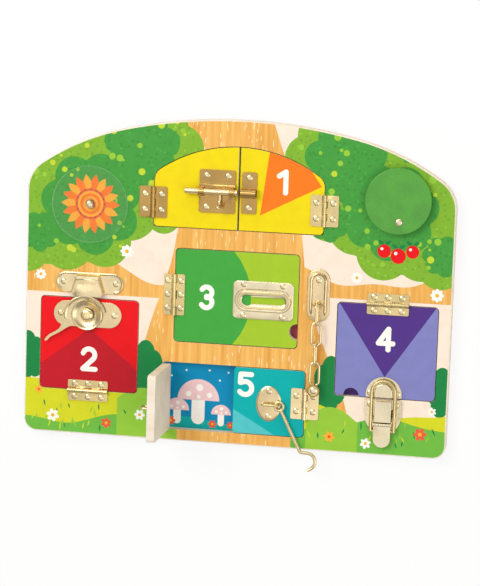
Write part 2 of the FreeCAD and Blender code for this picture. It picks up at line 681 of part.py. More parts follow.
# Toggle latch
def latch_parts():
    top = FACE + LATCH_T
    y0, y1 = LATCH_BASE
    x = LATCH_X
    pz = FACE + LATCH_PIVOT_Z
    base = box(x - LATCH_HALF, y0 + LATCH_HALF * 0.6, FACE, x + LATCH_HALF, y1, top)
    round_end = cyl(x, y0 + LATCH_HALF, FACE, top, LATCH_HALF)
    round_end = round_end.common(box(x - LATCH_HALF, y0, FACE, x + LATCH_HALF, y0 + LATCH_HALF, top))
    base = base.common(box(x - LATCH_HALF, y0 + LATCH_HALF, FACE, x + LATCH_HALF, y1, top))
    flanges = [box(x + s * LATCH_HALF - (1.2 if s > 0 else 0), y0 + LATCH_HALF, top,
                   x + s * LATCH_HALF + (0 if s > 0 else 1.2), y1, top + 1.6) for s in (1, -1)]
    b0, b1 = BRIDGE_Y
    bridge = box(x - LEVER_HALF, b0, top, x + LEVER_HALF, b1, FACE + BRIDGE_Z)
    bridge = soften(bridge, FACE + BRIDGE_Z, 0.7)
    ears = []
    for s in (1, -1):
        e0 = x + s * (LEVER_HALF + EAR_GAP)
        e1 = e0 + s * EAR_T
        low, high = sorted((e0, e1))
        ear = box(low, LATCH_PIVOT_Y - 2.6, top, high, LATCH_PIVOT_Y + 3.6, pz)
        ears += [ear, Part.makeCylinder(2.4, EAR_T, V(low, up(LATCH_PIVOT_Y), pz), V(1, 0, 0))]
    base = fuse([base, round_end, bridge] + flanges + ears)
    reach = LEVER_HALF + EAR_GAP + EAR_T
    pin = rod(x - reach, x + reach, LATCH_PIVOT_Y, pz, LATCH_PIN_R)
    base = base.cut(pin)
    spots = [(x - LATCH_HALF + 4.4, y1 - 4.6), (x + LATCH_HALF - 4.4, y1 - 4.6)]
    base = base.cut(Part.makeCompound(screw_holes(FRAME, spots, top)))
    z0 = pz - LATCH_LEVER_T / 2
    z1 = pz + LATCH_LEVER_T / 2
    end_y = LATCH_PIVOT_Y + 1.1
    body = box(x - LEVER_HALF, LEVER_TIP_Y + LEVER_HALF, z0, x + LEVER_HALF, end_y, z1)
    tip = cyl(x, LEVER_TIP_Y + LEVER_HALF, z0, z1, LEVER_HALF)
    knuckle = rod(x - LEVER_HALF, x + LEVER_HALF, LATCH_PIVOT_Y, pz, 1.75)
    lever = fuse([body, tip, knuckle])
    lever = lever.cut(rod(x - LEVER_HALF, x + LEVER_HALF, LATCH_PIVOT_Y, pz, LATCH_PIN_R + PIN_CLEAR))
    lever = lever.cut(rod(x - LEVER_HALF, x + LEVER_HALF, BAIL_PIVOT_Y, pz, BAIL_PIN_R + PIN_CLEAR))
    bar = rod(x - BAIL_HALF, x + BAIL_HALF, BAIL_PIVOT_Y, pz, BAIL_PIN_R)
    arch_y = BAIL_TOP_Y - BAIL_HALF
    a, b = V(x - BAIL_HALF, up(BAIL_PIVOT_Y), pz), V(x - BAIL_HALF, up(arch_y), pz)
    c, d = V(x + BAIL_HALF, up(arch_y), pz), V(x + BAIL_HALF, up(BAIL_PIVOT_Y), pz)
    loop = sweep([line(a, b), arc(b, V(x, up(BAIL_TOP_Y), pz), c), line(c, d)], a, V(0, 1, 0), BAIL_R)
    eyes = [Part.makeSphere(BAIL_R, p) for p in (a, d)]
    bail = fuse([loop, bar] + eyes)
    c0, c1 = CATCH_BASE_Y, CATCH_TOP_Y
    catch = cyl(x, c1 - LATCH_HALF, FACE, top, LATCH_HALF)
    catch = catch.common(box(x - LATCH_HALF, c0, FACE, x + LATCH_HALF, c1, top))
    t_y = BAIL_TOP_Y - BAIL_HALF
    tongue = cyl(x, t_y, top, FACE + TONGUE_Z, TONGUE_HALF)
    tongue = tongue.common(box(x - TONGUE_HALF, c0, top, x + TONGUE_HALF, c1, FACE + TONGUE_Z))
    tongue = fuse([tongue, box(x - TONGUE_HALF, c0, top, x + TONGUE_HALF, t_y, FACE + TONGUE_Z)])
    tongue = soften(tongue, FACE + TONGUE_Z, 0.9)
    catch = fuse([catch, tongue])
    side = LATCH_HALF - 3.9
    spots = [(x - side, c0 + 3.6), (x + side, c0 + 3.6)]
    catch = catch.cut(Part.makeCompound(screw_holes("door_4", spots, top)))
    return {"latch_base": base, "latch_lever": lever, "latch_bail": bail, "catch_plate": catch}, pin


# Hook and eyes
def eye(cx, cy, size, left_x, right_x, carrier):
    top = FACE + EYE_T
    w, h = size
    body = oval(cx, cy, w, h, FACE, top)
    a, b = V(left_x, up(cy), top - 0.4), V(left_x, up(cy), FACE + EYE_TOP_Z - 3.0)
    c, d = V(right_x, up(cy), FACE + EYE_TOP_Z - 3.0), V(right_x, up(cy), top - 0.4)
    r = 2.2
    e, f = b + V(r, 0, r), c + V(-r, 0, r)
    bend = r * (1 - math.sqrt(0.5))
    path = [line(a, b), arc(b, b + V(bend, 0, r - bend), e), line(e, f), arc(f, c + V(-bend, 0, r - bend), c),
            line(c, d)]
    body = fuse([body, sweep(path, a, Z_AXIS, EYE_WIRE_R)])
    spots = [(cx, cy + s * (h / 2 - 4.8)) for s in (1, -1)]
    return body.cut(Part.makeCompound(screw_holes(carrier, spots, top)))


def hook():
    """A wire hook: a ring that hangs on the eye's leg, a straight shank and a curled end."""
    t = math.radians(HOOK_ANGLE)
    along = V(math.cos(t), math.sin(t), 0)
    slack = RING_R - HOOK_WIRE_R - EYE_WIRE_R - HOOK_CLEAR
    c = V(EYE_LEG_X, up(EYE_C[1]), FACE + HOOK_Z) + along * slack
    side = V(-math.sin(t), math.cos(t), 0)
    ring = Part.makeTorus(RING_R, HOOK_WIRE_R, c, Z_AXIS)

    def spot(u, w):
        return c + along * (RING_R + u) + side * w

    kick, r, last = math.radians(HOOK_KICK), HOOK_BEND_R, math.radians(HOOK_LAST)

    def first_bend(h):
        return spot(HOOK_SHAFT + r * math.sin(h), r * (1 - math.cos(h)))

    def second_bend(h):
        return spot(HOOK_SHAFT + r * (2 * math.sin(kick) - math.sin(h)),
                    r * (1 - 2 * math.cos(kick) + math.cos(h)))

    a, b, m, e = spot(0, 0), spot(HOOK_SHAFT, 0), first_bend(kick), second_bend(last)
    tip = e + (along * math.cos(last) + side * math.sin(last)) * HOOK_TAIL
    path = [line(a, b), arc(b, first_bend(kick / 2), m), arc(m, second_bend((kick + last) / 2), e), line(e, tip)]
    wire = sweep(path, a, along, HOOK_WIRE_R)
    return fuse([ring, wire, Part.makeSphere(HOOK_TIP_R, tip)])


def eye_parts():
    left_x = EYE_LEG_X - EYE_SPAN
    main = eye(*EYE_C, EYE_SIZE, left_x, EYE_LEG_X, "door_5_right")
    cx = OPENING_5[0] + CATCH_EYE_FROM_HINGE
    half = EYE_SPAN / 3
    far = eye(cx, EYE_C[1], CATCH_EYE_SIZE, cx - half, cx + half, "door_5_left")
    return {"eye_plate": main, "catch_eye": far, "hook": hook()}


# Discs
def disc_parts():
    out = {}
    for name, centre, r, t, pivot in (("clear_disc", CLEAR_C, CLEAR_R, CLEAR_T, CLEAR_C),
                                      ("green_disc", GREEN_C, GREEN_R, GREEN_T, GREEN_PIVOT)):
        z0 = FACE + DISC_STAND + DISC_CLEAR
        z1 = z0 + t
        body = cyl(*centre, z0, z1, r)
        body = soften(soften(body, z1, 0.8), z0, 0.8)
        out[name] = body.cut(cyl(*pivot, z0, z1, DISC_SCREW_R + PIN_CLEAR))
        head_z = z1 + DISC_CLEAR
        head = cyl(*pivot, head_z, head_z + DISC_HEAD_H, DISC_HEAD_R)
        head = soften(head, head_z + DISC_HEAD_H, 0.7)
        washer = cyl(*pivot, FACE, FACE + DISC_STAND, DISC_WASHER_R)
        out[name + "_screw"] = fuse([head, washer, cyl(*pivot, FACE - SCREW_DEPTH, head_z, DISC_SCREW_R)])
    return out


def build():
    parts = {}
    pins = []
    for name, (x, y, turn, length, leaf_w, rows, door) in HINGES.items():
        frame_leaf, door_leaf, pin = hinge(x, y, turn, length, leaf_w, rows, FRAME, door)
        parts[name + "_frame"] = frame_leaf
        parts[name + "_leaf"] = door_leaf
        pins.append(pin)
    parts.update(bolt_parts())
    parts.update(sash_parts())
    parts.update(chain_parts())
    parts["chain_button"] = button()
    latch, latch_pin = latch_parts()
    parts.update(latch)
    pins.append(latch_pin)
    parts.update(eye_parts())
    parts.update(disc_parts())
    parts.update(doors())
    parts["board_panel"], parts["back_panel"] = panels()
    parts["hinge_pins"] = Part.makeCompound(pins)
    for carrier, spots in screw_spots.items():
        name = carrier if carrier == FRAME else carrier + "_screws"
        parts[name] = Part.makeCompound([screw(*s) for s in spots])
    axis = V(OPENING_5[0], 0, AXIS_Z)
    for name in ("door_5_left", "hinge_5_left_leaf", "door_5_left_screws", "catch_eye"):
        parts[name].rotate(axis, V(0, 1, 0), -OPEN_5_LEFT)
    return parts


os.makedirs("parts", exist_ok=True)
for node, shape in build().items():
    shape.exportStep("parts/%s.step" % node)
    print(node, len(shape.Solids), round(shape.Volume, 2), shape.isValid())
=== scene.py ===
"""Looks of the wooden busy board: print, wood, plated hardware, acrylic, light and camera."""
import json
import math
import random

import bpy
import bmesh
from mathutils import Matrix, Vector
from mathutils.geometry import delaunay_2d_cdt

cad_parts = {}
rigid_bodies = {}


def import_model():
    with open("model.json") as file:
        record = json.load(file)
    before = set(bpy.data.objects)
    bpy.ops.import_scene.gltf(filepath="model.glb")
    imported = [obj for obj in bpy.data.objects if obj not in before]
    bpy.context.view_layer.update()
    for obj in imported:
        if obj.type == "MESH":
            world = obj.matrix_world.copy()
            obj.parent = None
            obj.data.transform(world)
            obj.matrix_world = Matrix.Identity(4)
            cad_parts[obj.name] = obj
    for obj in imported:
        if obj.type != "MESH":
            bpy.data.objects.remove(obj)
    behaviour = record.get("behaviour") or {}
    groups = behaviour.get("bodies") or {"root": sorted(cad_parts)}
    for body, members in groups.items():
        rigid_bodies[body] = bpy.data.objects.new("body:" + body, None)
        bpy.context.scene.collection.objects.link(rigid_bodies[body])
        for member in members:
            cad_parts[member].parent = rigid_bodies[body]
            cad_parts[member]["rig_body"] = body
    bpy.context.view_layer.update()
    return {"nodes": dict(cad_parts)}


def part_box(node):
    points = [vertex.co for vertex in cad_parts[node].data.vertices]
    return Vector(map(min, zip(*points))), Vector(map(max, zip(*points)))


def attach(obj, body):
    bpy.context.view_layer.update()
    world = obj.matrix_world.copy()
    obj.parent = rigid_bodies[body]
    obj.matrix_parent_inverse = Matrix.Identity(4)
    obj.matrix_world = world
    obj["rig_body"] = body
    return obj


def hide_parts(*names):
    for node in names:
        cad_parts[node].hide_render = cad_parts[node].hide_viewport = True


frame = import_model()
NODES = frame["nodes"]
MM = 0.001

# Places that the CAD source fixes, mm: plan heights are from the board's bottom edge
HALF_H = 151.35
FACE = 12.0
POCKET_FLOOR = 3.0
CLEAR_DISC = (-139.7, 218.6)
GREEN_DISC_SCREW = (149.2, 218.0)
OPEN_LEAF = "door_5_left"
OPEN_LEAF_X = -68.2
OPEN_LEAF_Z = 14.25

# The ink's rise over a face and its depth under it, mm, and the least area that is printed, mm2
PRINT_RISE = 0.06
PRINT_SINK = 0.05
LEAST_LOOP = 150.0

PALETTE = {
    "cream": (250, 230, 210), "tan": (236, 178, 92), "tan_light": (252, 220, 162), "leaf": (130, 180, 50),
    "leaf_dark": (70, 156, 62), "leaf_light": (150, 200, 60), "lime": (214, 214, 36), "hill": (112, 186, 66),
    "hill_dark": (26, 132, 66), "dot": (196, 214, 56), "white": (255, 249, 240), "orange": (250, 124, 28),
    "yellow": (240, 216, 12), "red": (236, 18, 26), "red_dark": (196, 24, 38), "green": (68, 166, 64),
    "green_lime": (164, 199, 46), "purple": (82, 52, 134), "lavender": (130, 131, 191), "teal": (0, 174, 172),
    "teal_light": (84, 196, 198), "teal_deep": (0, 140, 186), "pink": (244, 206, 206), "rose": (170, 75, 95),
    "brown": (150, 84, 40), "amber": (250, 176, 50), "coral": (236, 92, 60),
}
FOLIAGE = ("leaf", "leaf_dark")
PATH_DARK = (226, 160, 70)
PATH_PALE = (246, 192, 106)
PRINT_SPECULAR = 0.18
PLY_THICK = 0.0015


def linear(rgb):
    """Linear colour from an 0 to 255 screen colour."""
    out = []
    for v in rgb:
        c = v / 255
        out.append(c / 12.92 if c <= 0.04045 else ((c + 0.055) / 1.055) ** 2.4)
    return out + [1.0]


# Materials: node trees, where an input is fed by another node's output or set to a value
def feed(tree, made, inputs):
    for key, value in inputs.items():
        if isinstance(value, bpy.types.NodeSocket):
            tree.links.new(value, made.inputs[key])
        else:
            made.inputs[key].default_value = value


def add(tree, kind, inputs=None, **settings):
    made = tree.nodes.new("ShaderNode" + kind)
    for key, value in settings.items():
        setattr(made, key, value)
    feed(tree, made, inputs or {})
    return made


def new_material(name, rgb, rough, metal=0.0):
    mat = bpy.data.materials.new(name)
    mat.use_nodes = True
    tree = mat.node_tree
    bsdf = tree.nodes["Principled BSDF"]
    feed(tree, bsdf, {"Base Color": linear(rgb), "Roughness": rough, "Metallic": metal})
    return mat, tree, bsdf


def noise_at(tree, scale, detail=3.0, stretch=(1, 1, 1)):
    """Noise per metre in object space, drawn out along an axis by a stretch below 1."""
    coords = add(tree, "TexCoord")
    mapping = add(tree, "Mapping", {"Vector": coords.outputs["Object"], "Scale": stretch})
    noise = add(tree, "TexNoise", {"Vector": mapping.outputs["Vector"], "Scale": scale, "Detail": detail})
    return noise.outputs["Fac"]


def ramp_between(tree, source, low, high, at=(0.35, 0.65)):
    ramp = add(tree, "ValToRGB", {"Fac": source})
    ramp.color_ramp.elements[0].position, ramp.color_ramp.elements[1].position = at
    ramp.color_ramp.elements[0].color, ramp.color_ramp.elements[1].color = low, high
    return ramp.outputs["Color"]


def ranged(tree, source, low, high, span=(0.3, 0.7)):
    """The source's span spread from low to high."""
    ends = {"From Min": span[0], "From Max": span[1], "To Min": low, "To Max": high}
    return add(tree, "MapRange", {"Value": source, **ends}).outputs["Result"]


def bump_from(tree, source, depth, strength):
    return add(tree, "Bump", {"Height": source, "Strength": strength, "Distance": depth}).outputs["Normal"]


def math_of(tree, operation, *values):
    return add(tree, "Math", dict(enumerate(values)), operation=operation).outputs[0]


def laid_over(tree, colour, rgb, share):
    """A colour with a share of another one laid over it."""
    return add(tree, "Mix", {0: share, 6: colour, 7: linear(rgb)}, data_type="RGBA").outputs[2]


def shade(rgb, factor):
    return tuple(min(255, v * factor) for v in rgb)


def mottled(tree, noise, rgb, low, high):
    """A colour that drifts between two shades of itself."""
    return ramp_between(tree, noise, linear(shade(rgb, low)), linear(shade(rgb, high)))


def print_material(key):
    """Ink on varnished plywood: faint mottling and the wood's fine grain showing through the gloss."""
    rgb = PALETTE[key]
    mat, tree, bsdf = new_material("ink_" + key, rgb, 0.4)
    grain = noise_at(tree, 700.0, 4.0, (1.0, 0.06, 1.0))
    if key == "tan":
        streaks = noise_at(tree, 300.0, 3.0, (1.0, 0.035, 1.0))
        colour = ramp_between(tree, streaks, linear(PATH_DARK), linear(PATH_PALE), (0.32, 0.68))
    else:
        colour = mottled(tree, noise_at(tree, 90.0), rgb, 0.985, 1.01)
    if key in FOLIAGE:
        colour = speckled(tree, colour, rgb)
    feed(tree, bsdf, {"Base Color": colour, "Roughness": ranged(tree, grain, 0.34, 0.46),
                      "Normal": bump_from(tree, grain, 0.00002, 0.35), "Specular IOR Level": PRINT_SPECULAR})
    return mat


def speckled(tree, colour, rgb):
    """Small darker and lighter dabs scattered over foliage."""
    place = add(tree, "TexCoord").outputs["Object"]
    for scale, factor, reach in ((210.0, 0.92, 0.3), (150.0, 1.08, 0.22)):
        cells = add(tree, "TexVoronoi", {"Vector": place, "Scale": scale})
        dabs = ranged(tree, cells.outputs["Distance"], 0.0, 1.0, (reach, reach - 0.05))
        colour = laid_over(tree, colour, shade(rgb, factor), dabs)
    return colour


def layered(tree, colour, rgb):
    """Thin darker plies over a colour, on the faces that stand upright."""
    place = add(tree, "SeparateXYZ", {"Vector": add(tree, "TexCoord").outputs["Object"]})
    normal = add(tree, "SeparateXYZ", {"Vector": add(tree, "NewGeometry").outputs["Normal"]})
    plies = math_of(tree, "PINGPONG", place.outputs["Z"], PLY_THICK)
    tilt = math_of(tree, "ABSOLUTE", normal.outputs["Z"])
    dark, upright = ranged(tree, plies, 0.0, 0.45, (0.0008, 0.0011)), ranged(tree, tilt, 0.0, 1.0, (0.5, 0.2))
    return laid_over(tree, colour, rgb, math_of(tree, "MULTIPLY", dark, upright))


def wood_material(name, pale, dark, plies):
    """Pale birch plywood: long grain on the faces and, if asked for, darker plies on the edges."""
    mat, tree, bsdf = new_material(name, pale, 0.55)
    grain = noise_at(tree, 60.0, 6.0, (0.06, 1.0, 1.0))
    fine = noise_at(tree, 900.0, 3.0, (0.05, 1.0, 1.0))
    colour = ramp_between(tree, grain, linear(dark), linear(pale), (0.3, 0.62))
    if plies:
        colour = layered(tree, colour, shade(dark, 0.82))
    feed(tree, bsdf, {"Base Color": colour, "Roughness": ranged(tree, fine, 0.5, 0.65),
                      "Normal": bump_from(tree, fine, 0.00004, 0.4)})
    return mat


def metal_material(name, rgb, rough, relief):
    """Plated sheet: pale gold with soft unevenness in its tone and gloss."""
    mat, tree, bsdf = new_material(name, rgb, rough, 1.0)
    tone = noise_at(tree, 45.0)
    gloss = ranged(tree, noise_at(tree, 260.0), rough * 0.8, rough * 1.35)
    feed(tree, bsdf, {"Base Color": mottled(tree, tone, rgb, 0.94, 1.03), "Roughness": gloss,
                      "Normal": bump_from(tree, tone, relief, 0.5)})
    return mat


def clear_material():
    """Clear acrylic: nearly unseen from straight on, denser towards its rim."""
    mat, tree, bsdf = new_material("clear_acrylic", (226, 244, 224), 0.06)
    facing = add(tree, "LayerWeight", {"Blend": 0.35}).outputs["Facing"]
    scratches = noise_at(tree, 300.0, 5.0, (1.0, 0.1, 1.0))
    feed(tree, bsdf, {"Alpha": ranged(tree, facing, 0.02, 0.6, (0.1, 0.95)),
                      "Roughness": ranged(tree, scratches, 0.04, 0.1), "IOR": 1.49})
    return mat


def plastic_material(name, rgb):
    """Glossy coloured plastic under a thin clear coat."""
    mat, tree, bsdf = new_material(name, rgb, 0.25)
    feed(tree, bsdf, {"Base Color": mottled(tree, noise_at(tree, 60.0), rgb, 0.95, 1.04),
                      "Roughness": ranged(tree, noise_at(tree, 800.0), 0.2, 0.32),
                      "Coat Weight": 0.1, "Coat Roughness": 0.08})
    return mat


INKS = {key: print_material(key) for key in PALETTE}
PLY = wood_material("plywood", (243, 231, 212), (232, 215, 190), True)
BACKING = wood_material("back_plywood", (236, 214, 178), (216, 188, 146), False)
BRASS = metal_material("plated_brass", (228, 206, 148), 0.26, 0.00005)
BRASS_PALE = metal_material("pale_brass", (234, 221, 188), 0.17, 0.00004)
BRASS_WARM = metal_material("warm_brass", (232, 210, 166), 0.24, 0.00004)
BRASS_SATIN = metal_material("satin_brass", (236, 216, 172), 0.27, 0.00003)
# A darker copy of the plated brass: painted shade for parts that reflect a darker surround, not a real aged
# tone
BRASS_SHADED = metal_material("shaded_brass", (192, 155, 92), 0.2, 0.00006)
# A lighter copy of the plated brass: painted light for parts that catch brighter reflections
BRASS_LIT = metal_material("lit_brass", (248, 226, 176), 0.17, 0.00004)
SCREW = metal_material("screw_brass", (238, 222, 178), 0.2, 0.00004)
CLEAR = clear_material()
DISC_GREEN = plastic_material("green_disc", (78, 156, 50))


# Plan shapes, mm, heights from the board's bottom edge
def around(ring):
    """Each point of a closed ring with the next one."""
    return zip(ring, ring[1:] + ring[:1])


def twice_area(ring):
    """Twice the ring's area, above zero where it runs counter-clockwise."""
    return sum(a[0] * b[1] - b[0] * a[1] for a, b in around(ring))


def leftward(ring):
    """The ring run counter-clockwise, which is how the triangulation tells its inside."""
    return ring if twice_area(ring) > 0 else ring[::-1]


def swung(u, w, turn, cx, cy):
    """A point that lies (u, w) from (cx, cy) before both are turned."""
    c, s = math.cos(turn), math.sin(turn)
    return cx + u * c - w * s, cy + u * s + w * c


def disc(cx, cy, r, n=48, ry=None, turn=0.0):
    ry = ry or r
    angles = [2 * math.pi * k / n for k in range(n)]
    return [swung(r * math.cos(a), ry * math.sin(a), turn, cx, cy) for a in angles]


def lobed(cx, cy, r, lobes, depth, turn=0.0, squash=1.0, n=160):
    """A bush seen as a cloud of round lobes."""
    pts = []
    for k in range(n):
        a = 2 * math.pi * k / n
        reach = r - depth + depth * 1.6 * abs(math.sin(lobes * a / 2 + turn)) ** 0.8
        pts.append((cx + reach * math.cos(a), cy + reach * math.sin(a) * squash))
    return pts


def capsule(x0, y0, x1, y1, r, n=10):
    a = math.atan2(y1 - y0, x1 - x0)
    pts = []
    for x, y, start in ((x0, y0, a + math.pi / 2), (x1, y1, a - math.pi / 2)):
        for k in range(n + 1):
            t = start + math.pi * k / n
            pts.append((x + r * math.cos(t), y + r * math.sin(t)))
    return pts


def arc_points(cx, cy, r, start, end, n=14):
    out = []
    for k in range(n + 1):
        a = math.radians(start + (end - start) * k / n)
        out.append((cx + r * math.cos(a), cy + r * math.sin(a)))
    return out


def stroke(points, cx, cy, r):
    pts = [(cx + x, cy + y) for x, y in points]
    return [capsule(*a, *b, r) for a, b in zip(pts, pts[1:])]


def leaf(cx, cy, length, width, turn, n=12):
    """A pointed leaf about its middle."""
    pts = []
    for side in (1, -1):
        for k in range(n):
            t = k / n if side > 0 else 1 - k / n
            pts.append(swung((t - 0.5) * length, side * math.sin(math.pi * t) * width / 2, turn, cx, cy))
    return pts


def rect(x0, y0, x1, y1):
    return [(x0, y0), (x1, y0), (x1, y1), (x0, y1)]


def flower(cx, cy, r, petals, ink, heart, turn=0.0):
    out = []
    for k in range(petals):
        a = turn + 2 * math.pi * k / petals
        x, y = cx + r * 0.6 * math.cos(a), cy + r * 0.6 * math.sin(a)
        out.append((ink, disc(x, y, r * 0.44, 20, r * 0.3, a)))
    return out + [(heart, disc(cx, cy, r * 0.3, 20))]


def wave(x0, x1, base, rises, floor, n=60):
    """Ground with a wavy skyline: rises are (height, waves, phase)."""
    top = []
    for k in range(n + 1):
        t = k / n
        y = base + sum(h * math.sin(math.pi * 2 * w * t + p) for h, w, p in rises)
        top.append((x0 + (x1 - x0) * t, y))
    return [(x0, floor)] + top + [(x1, floor)]


def inside(pt, poly):
    x, y = pt
    hit = False
    for (x0, y0), (x1, y1) in around(poly):
        if (y0 > y) != (y1 > y) and x < (x1 - x0) * (y - y0) / (y1 - y0) + x0:
            hit = not hit
    return hit


WHOLE = rect(-210, -10, 210, 310)
DIGIT_R = 2.35
DIGITS = {
    1: [[(-4.6, 5.6), (1.6, 9.6), (1.6, -9.6)]],
    2: [arc_points(-0.2, 3.9, 5.7, 165, -35) + [(-5.9, -9.6), (6.2, -9.6)]],
    3: [arc_points(-0.8, 4.7, 5.0, 150, -90), arc_points(-0.8, -4.4, 5.3, 90, -150)],
    4: [[(2.4, 9.6), (-6.6, -3.8), (6.8, -3.8)], [(2.6, 9.6), (2.6, -9.6)]],
    5: [[(5.4, 9.6), (-4.6, 9.6), (-5.0, 1.6)], [(-5.0, 1.6)] + arc_points(-0.2, -3.4, 6.2, 122, -145)],
}


def digit(number, cx, cy):
    return [("white", poly) for pts in DIGITS[number] for poly in stroke(pts, cx, cy, DIGIT_R)]


# Print of the board: a generic garden
def path_edge(y, side):
    """The sandy path's edge at a height, winding a little and narrowing upwards."""
    half = 104 - 0.22 * y + 8 * math.sin(y / 34 + side)
    return side * half + 7 * math.sin(y / 52)


def board_art():
    rng = random.Random(11)
    heights = [6 * k - 10 for k in range(56)]
    path = [(path_edge(y, -1), y) for y in heights] + [(path_edge(y, 1), y) for y in reversed(heights)]
    dunes = [wave(-210, -40, 158, [(12, 0.7, 0.4), (4, 2.1, 1.0)], 134),
             wave(40, 210, 166, [(10, 0.8, 2.2), (3, 2.4, 0)], 144)]
    sand = dunes + [path]
    out = [("cream", WHOLE)] + [("tan", area) for area in sand]
    for _ in range(900):
        x, y = rng.uniform(-200, 200), rng.uniform(2, 300)
        length = rng.uniform(3.5, 9.0)
        ends = [(x, y - length), (x, y + length)]
        if any(all(inside(p, area) for p in ends) for area in sand):
            width = rng.uniform(0.7, 1.2)
            out.append(("tan_light", leaf(x, y, length, width, math.pi / 2 + rng.uniform(-0.06, 0.06))))
    return out + bushes(rng) + ground(rng) + motifs()


def bushes(rng):
    """Round tree crowns in two greens, with dots of both and of lime."""
    crowns = [(-150, 232, 74, 9, 0.2), (-86, 268, 50, 7, 0.9), (-196, 196, 42, 6, 0.5),
              (-70, 226, 30, 6, 0.0), (152, 236, 72, 9, 0.7), (92, 270, 48, 7, 0.1), (196, 200, 42, 6, 1.1),
              (88, 222, 26, 5, 0.4)]
    inner = [(-139, 219, 45, 0.3), (-92, 274, 34, 0.8), (-66, 224, 18, 0.1), (98, 270, 36, 0.5),
             (140, 226, 42, 0.9), (84, 214, 18, 0.2), (-188, 190, 18, 0.6), (190, 188, 18, 0.2)]
    out = [("leaf", lobed(x, y, r, lobes, r * 0.09, turn)) for x, y, r, lobes, turn in crowns]
    out += [("leaf_dark", lobed(x, y, r, 7, r * 0.12, turn)) for x, y, r, turn in inner]
    for _ in range(210):
        x, y = rng.uniform(-198, 198), rng.uniform(160, 300)
        if any(math.hypot(x - cx, y - cy) < r - 9 for cx, cy, r, _, _ in crowns):
            ink = rng.choice(["dot", "leaf_light", "dot", "leaf_dark", "leaf_light"])
            out.append((ink, disc(x, y, rng.uniform(1.2, 3.4), 18)))
    return out


def ground(rng):
    """Low hills with shrubs behind them, blades of grass and small flowers."""
    shrubs = [(-196, 72, 15, 0.3), (-84, 68, 16, 0.9), (-96, 46, 15, 0.1), (92, 66, 15, 0.6),
              (196, 62, 15, 0.2), (84, 44, 15, 0.4)]
    blooms = [(-172, 16, 6, "white"), (-120, 12, 5, "coral"), (-88, 22, 5, "white"), (92, 14, 5, "amber"),
              (126, 10, 5, "white"), (176, 22, 6, "coral"), (186, 44, 4, "white"), (-186, 40, 4, "amber")]
    out = [("hill_dark", lobed(x, y, r, 5, r * 0.12, turn, 1.5)) for x, y, r, turn in shrubs]
    out += [("lime", wave(-210, -60, 44, [(9, 0.6, 0.2), (3, 1.9, 1.2)], -10)),
            ("lime", wave(66, 210, 40, [(9, 0.7, 2.6), (3, 1.8, 0.4)], -10)),
            ("hill", wave(-210, -52, 22, [(11, 0.55, 3.9), (2, 2.2, 0.0)], -10)),
            ("hill", wave(56, 210, 22, [(11, 0.6, 5.6), (2, 2.0, 1.0)], -10)),
            ("leaf_light", wave(-110, -52, 34, [(14, 0.5, 0.2)], -10)),
            ("leaf_light", wave(70, 118, 30, [(12, 0.5, 0.1)], -10))]
    for _ in range(46):
        side = rng.choice((-1, 1))
        x, y = side * rng.uniform(72, 192), rng.uniform(6, 30)
        lean = math.pi / 2 + rng.uniform(-0.5, 0.5)
        out.append((rng.choice(["hill_dark", "leaf_light", "dot"]), leaf(x, y, rng.uniform(5, 9), 1.5, lean)))
    for x, y, r, ink in blooms:
        out += flower(x, y, r, 6, ink, "amber" if ink != "amber" else "coral", x)
    return out


def motifs():
    """A sunflower under the clear disc, berries by the green one and a few daisies."""
    out = []
    cx, cy = CLEAR_DISC
    for k in range(18):
        a = 2 * math.pi * k / 18
        ink = "amber" if k % 2 else "orange"
        out.append((ink, leaf(cx + 19.5 * math.cos(a), cy + 19.5 * math.sin(a), 17, 7.5, a)))
    for r, ink in ((14.5, "coral"), (12.2, "amber"), (9.8, "orange"), (7.2, "amber"), (4.8, "coral")):
        out.append((ink, disc(cx, cy, r)))
    for k in range(16):
        a = 2 * math.pi * k / 16
        out.append(("brown", disc(cx + 13.3 * math.cos(a), cy + 13.3 * math.sin(a), 0.8, 10)))
    for x, y, r in ((136, 190, 6.2), (149, 186, 7.0), (162, 190.5, 6.0)):
        out += [("hill_dark", leaf(x - 3, y + r + 1.5, 8, 3.4, 2.5)),
                ("hill_dark", leaf(x + 3, y + r + 1.5, 8, 3.4, 0.6)),
                ("red", disc(x, y, r)), ("white", disc(x - r * 0.35, y + r * 0.35, r * 0.22, 14))]
    for x, y, r in ((-104, 176, 6), (-186, 150, 5), (112, 164, 5), (186, 152, 6)):
        out += flower(x, y, r, 8, "white", "amber")
    return out


# Each door's field, its block of a second colour, and its number with the number's middle
DOOR_ART = {
    "door_1_left": ("yellow", [], []),
    "door_1_right": ("yellow", [("orange", [(27.6, 276.5), (55.0, 276.0), (76.6, 245.6), (20.2, 216.3)])],
                     digit(1, 41.6, 248.0)),
    "door_2": ("red", [("red_dark", [(-137.8, 101.0), (-190, 61.0), (-190, 38), (-86, 38), (-86, 59.5)])],
               digit(2, -137.9, 72.0)),
    "door_3": ("green_lime", [("green", disc(-50.3, 137.8, 64.7, 120))], digit(3, -26.6, 137.4)),
    "door_4": ("lavender", [("purple", [(95.5, 142.5), (93.0, 146.0), (190.0, 146.0), (187.6, 142.5),
                                        (141.2, 73.4)])], digit(4, 140.7, 108.7)),
    "door_5_left": ("teal", [("teal_light", [(-70, 78), (-70, 46.0), (-14.0, 78)])], []),
    "door_5_right": ("teal", [("teal_light", [(-2, 35.6), (-2, 8.0), (47.0, 8.0)])], digit(5, 12.0, 57.9)),
}


def mushroom(cx, base, size):
    """A simple toadstool: stem, cap and spots."""
    cap = [(cx + size * x, base + size * (1.05 + y)) for x, y in arc_points(0, 0, 0.95, 0, 180, 30)]
    out = [("white", capsule(cx, base + size * 0.25, cx, base + size * 1.1, size * 0.3)), ("pink", cap)]
    for x, y, r in ((-0.45, 1.32, 0.13), (0.05, 1.62, 0.16), (0.5, 1.3, 0.12), (0.02, 1.2, 0.09)):
        out.append(("white", disc(cx + size * x, base + size * y, size * r, 18)))
    return out


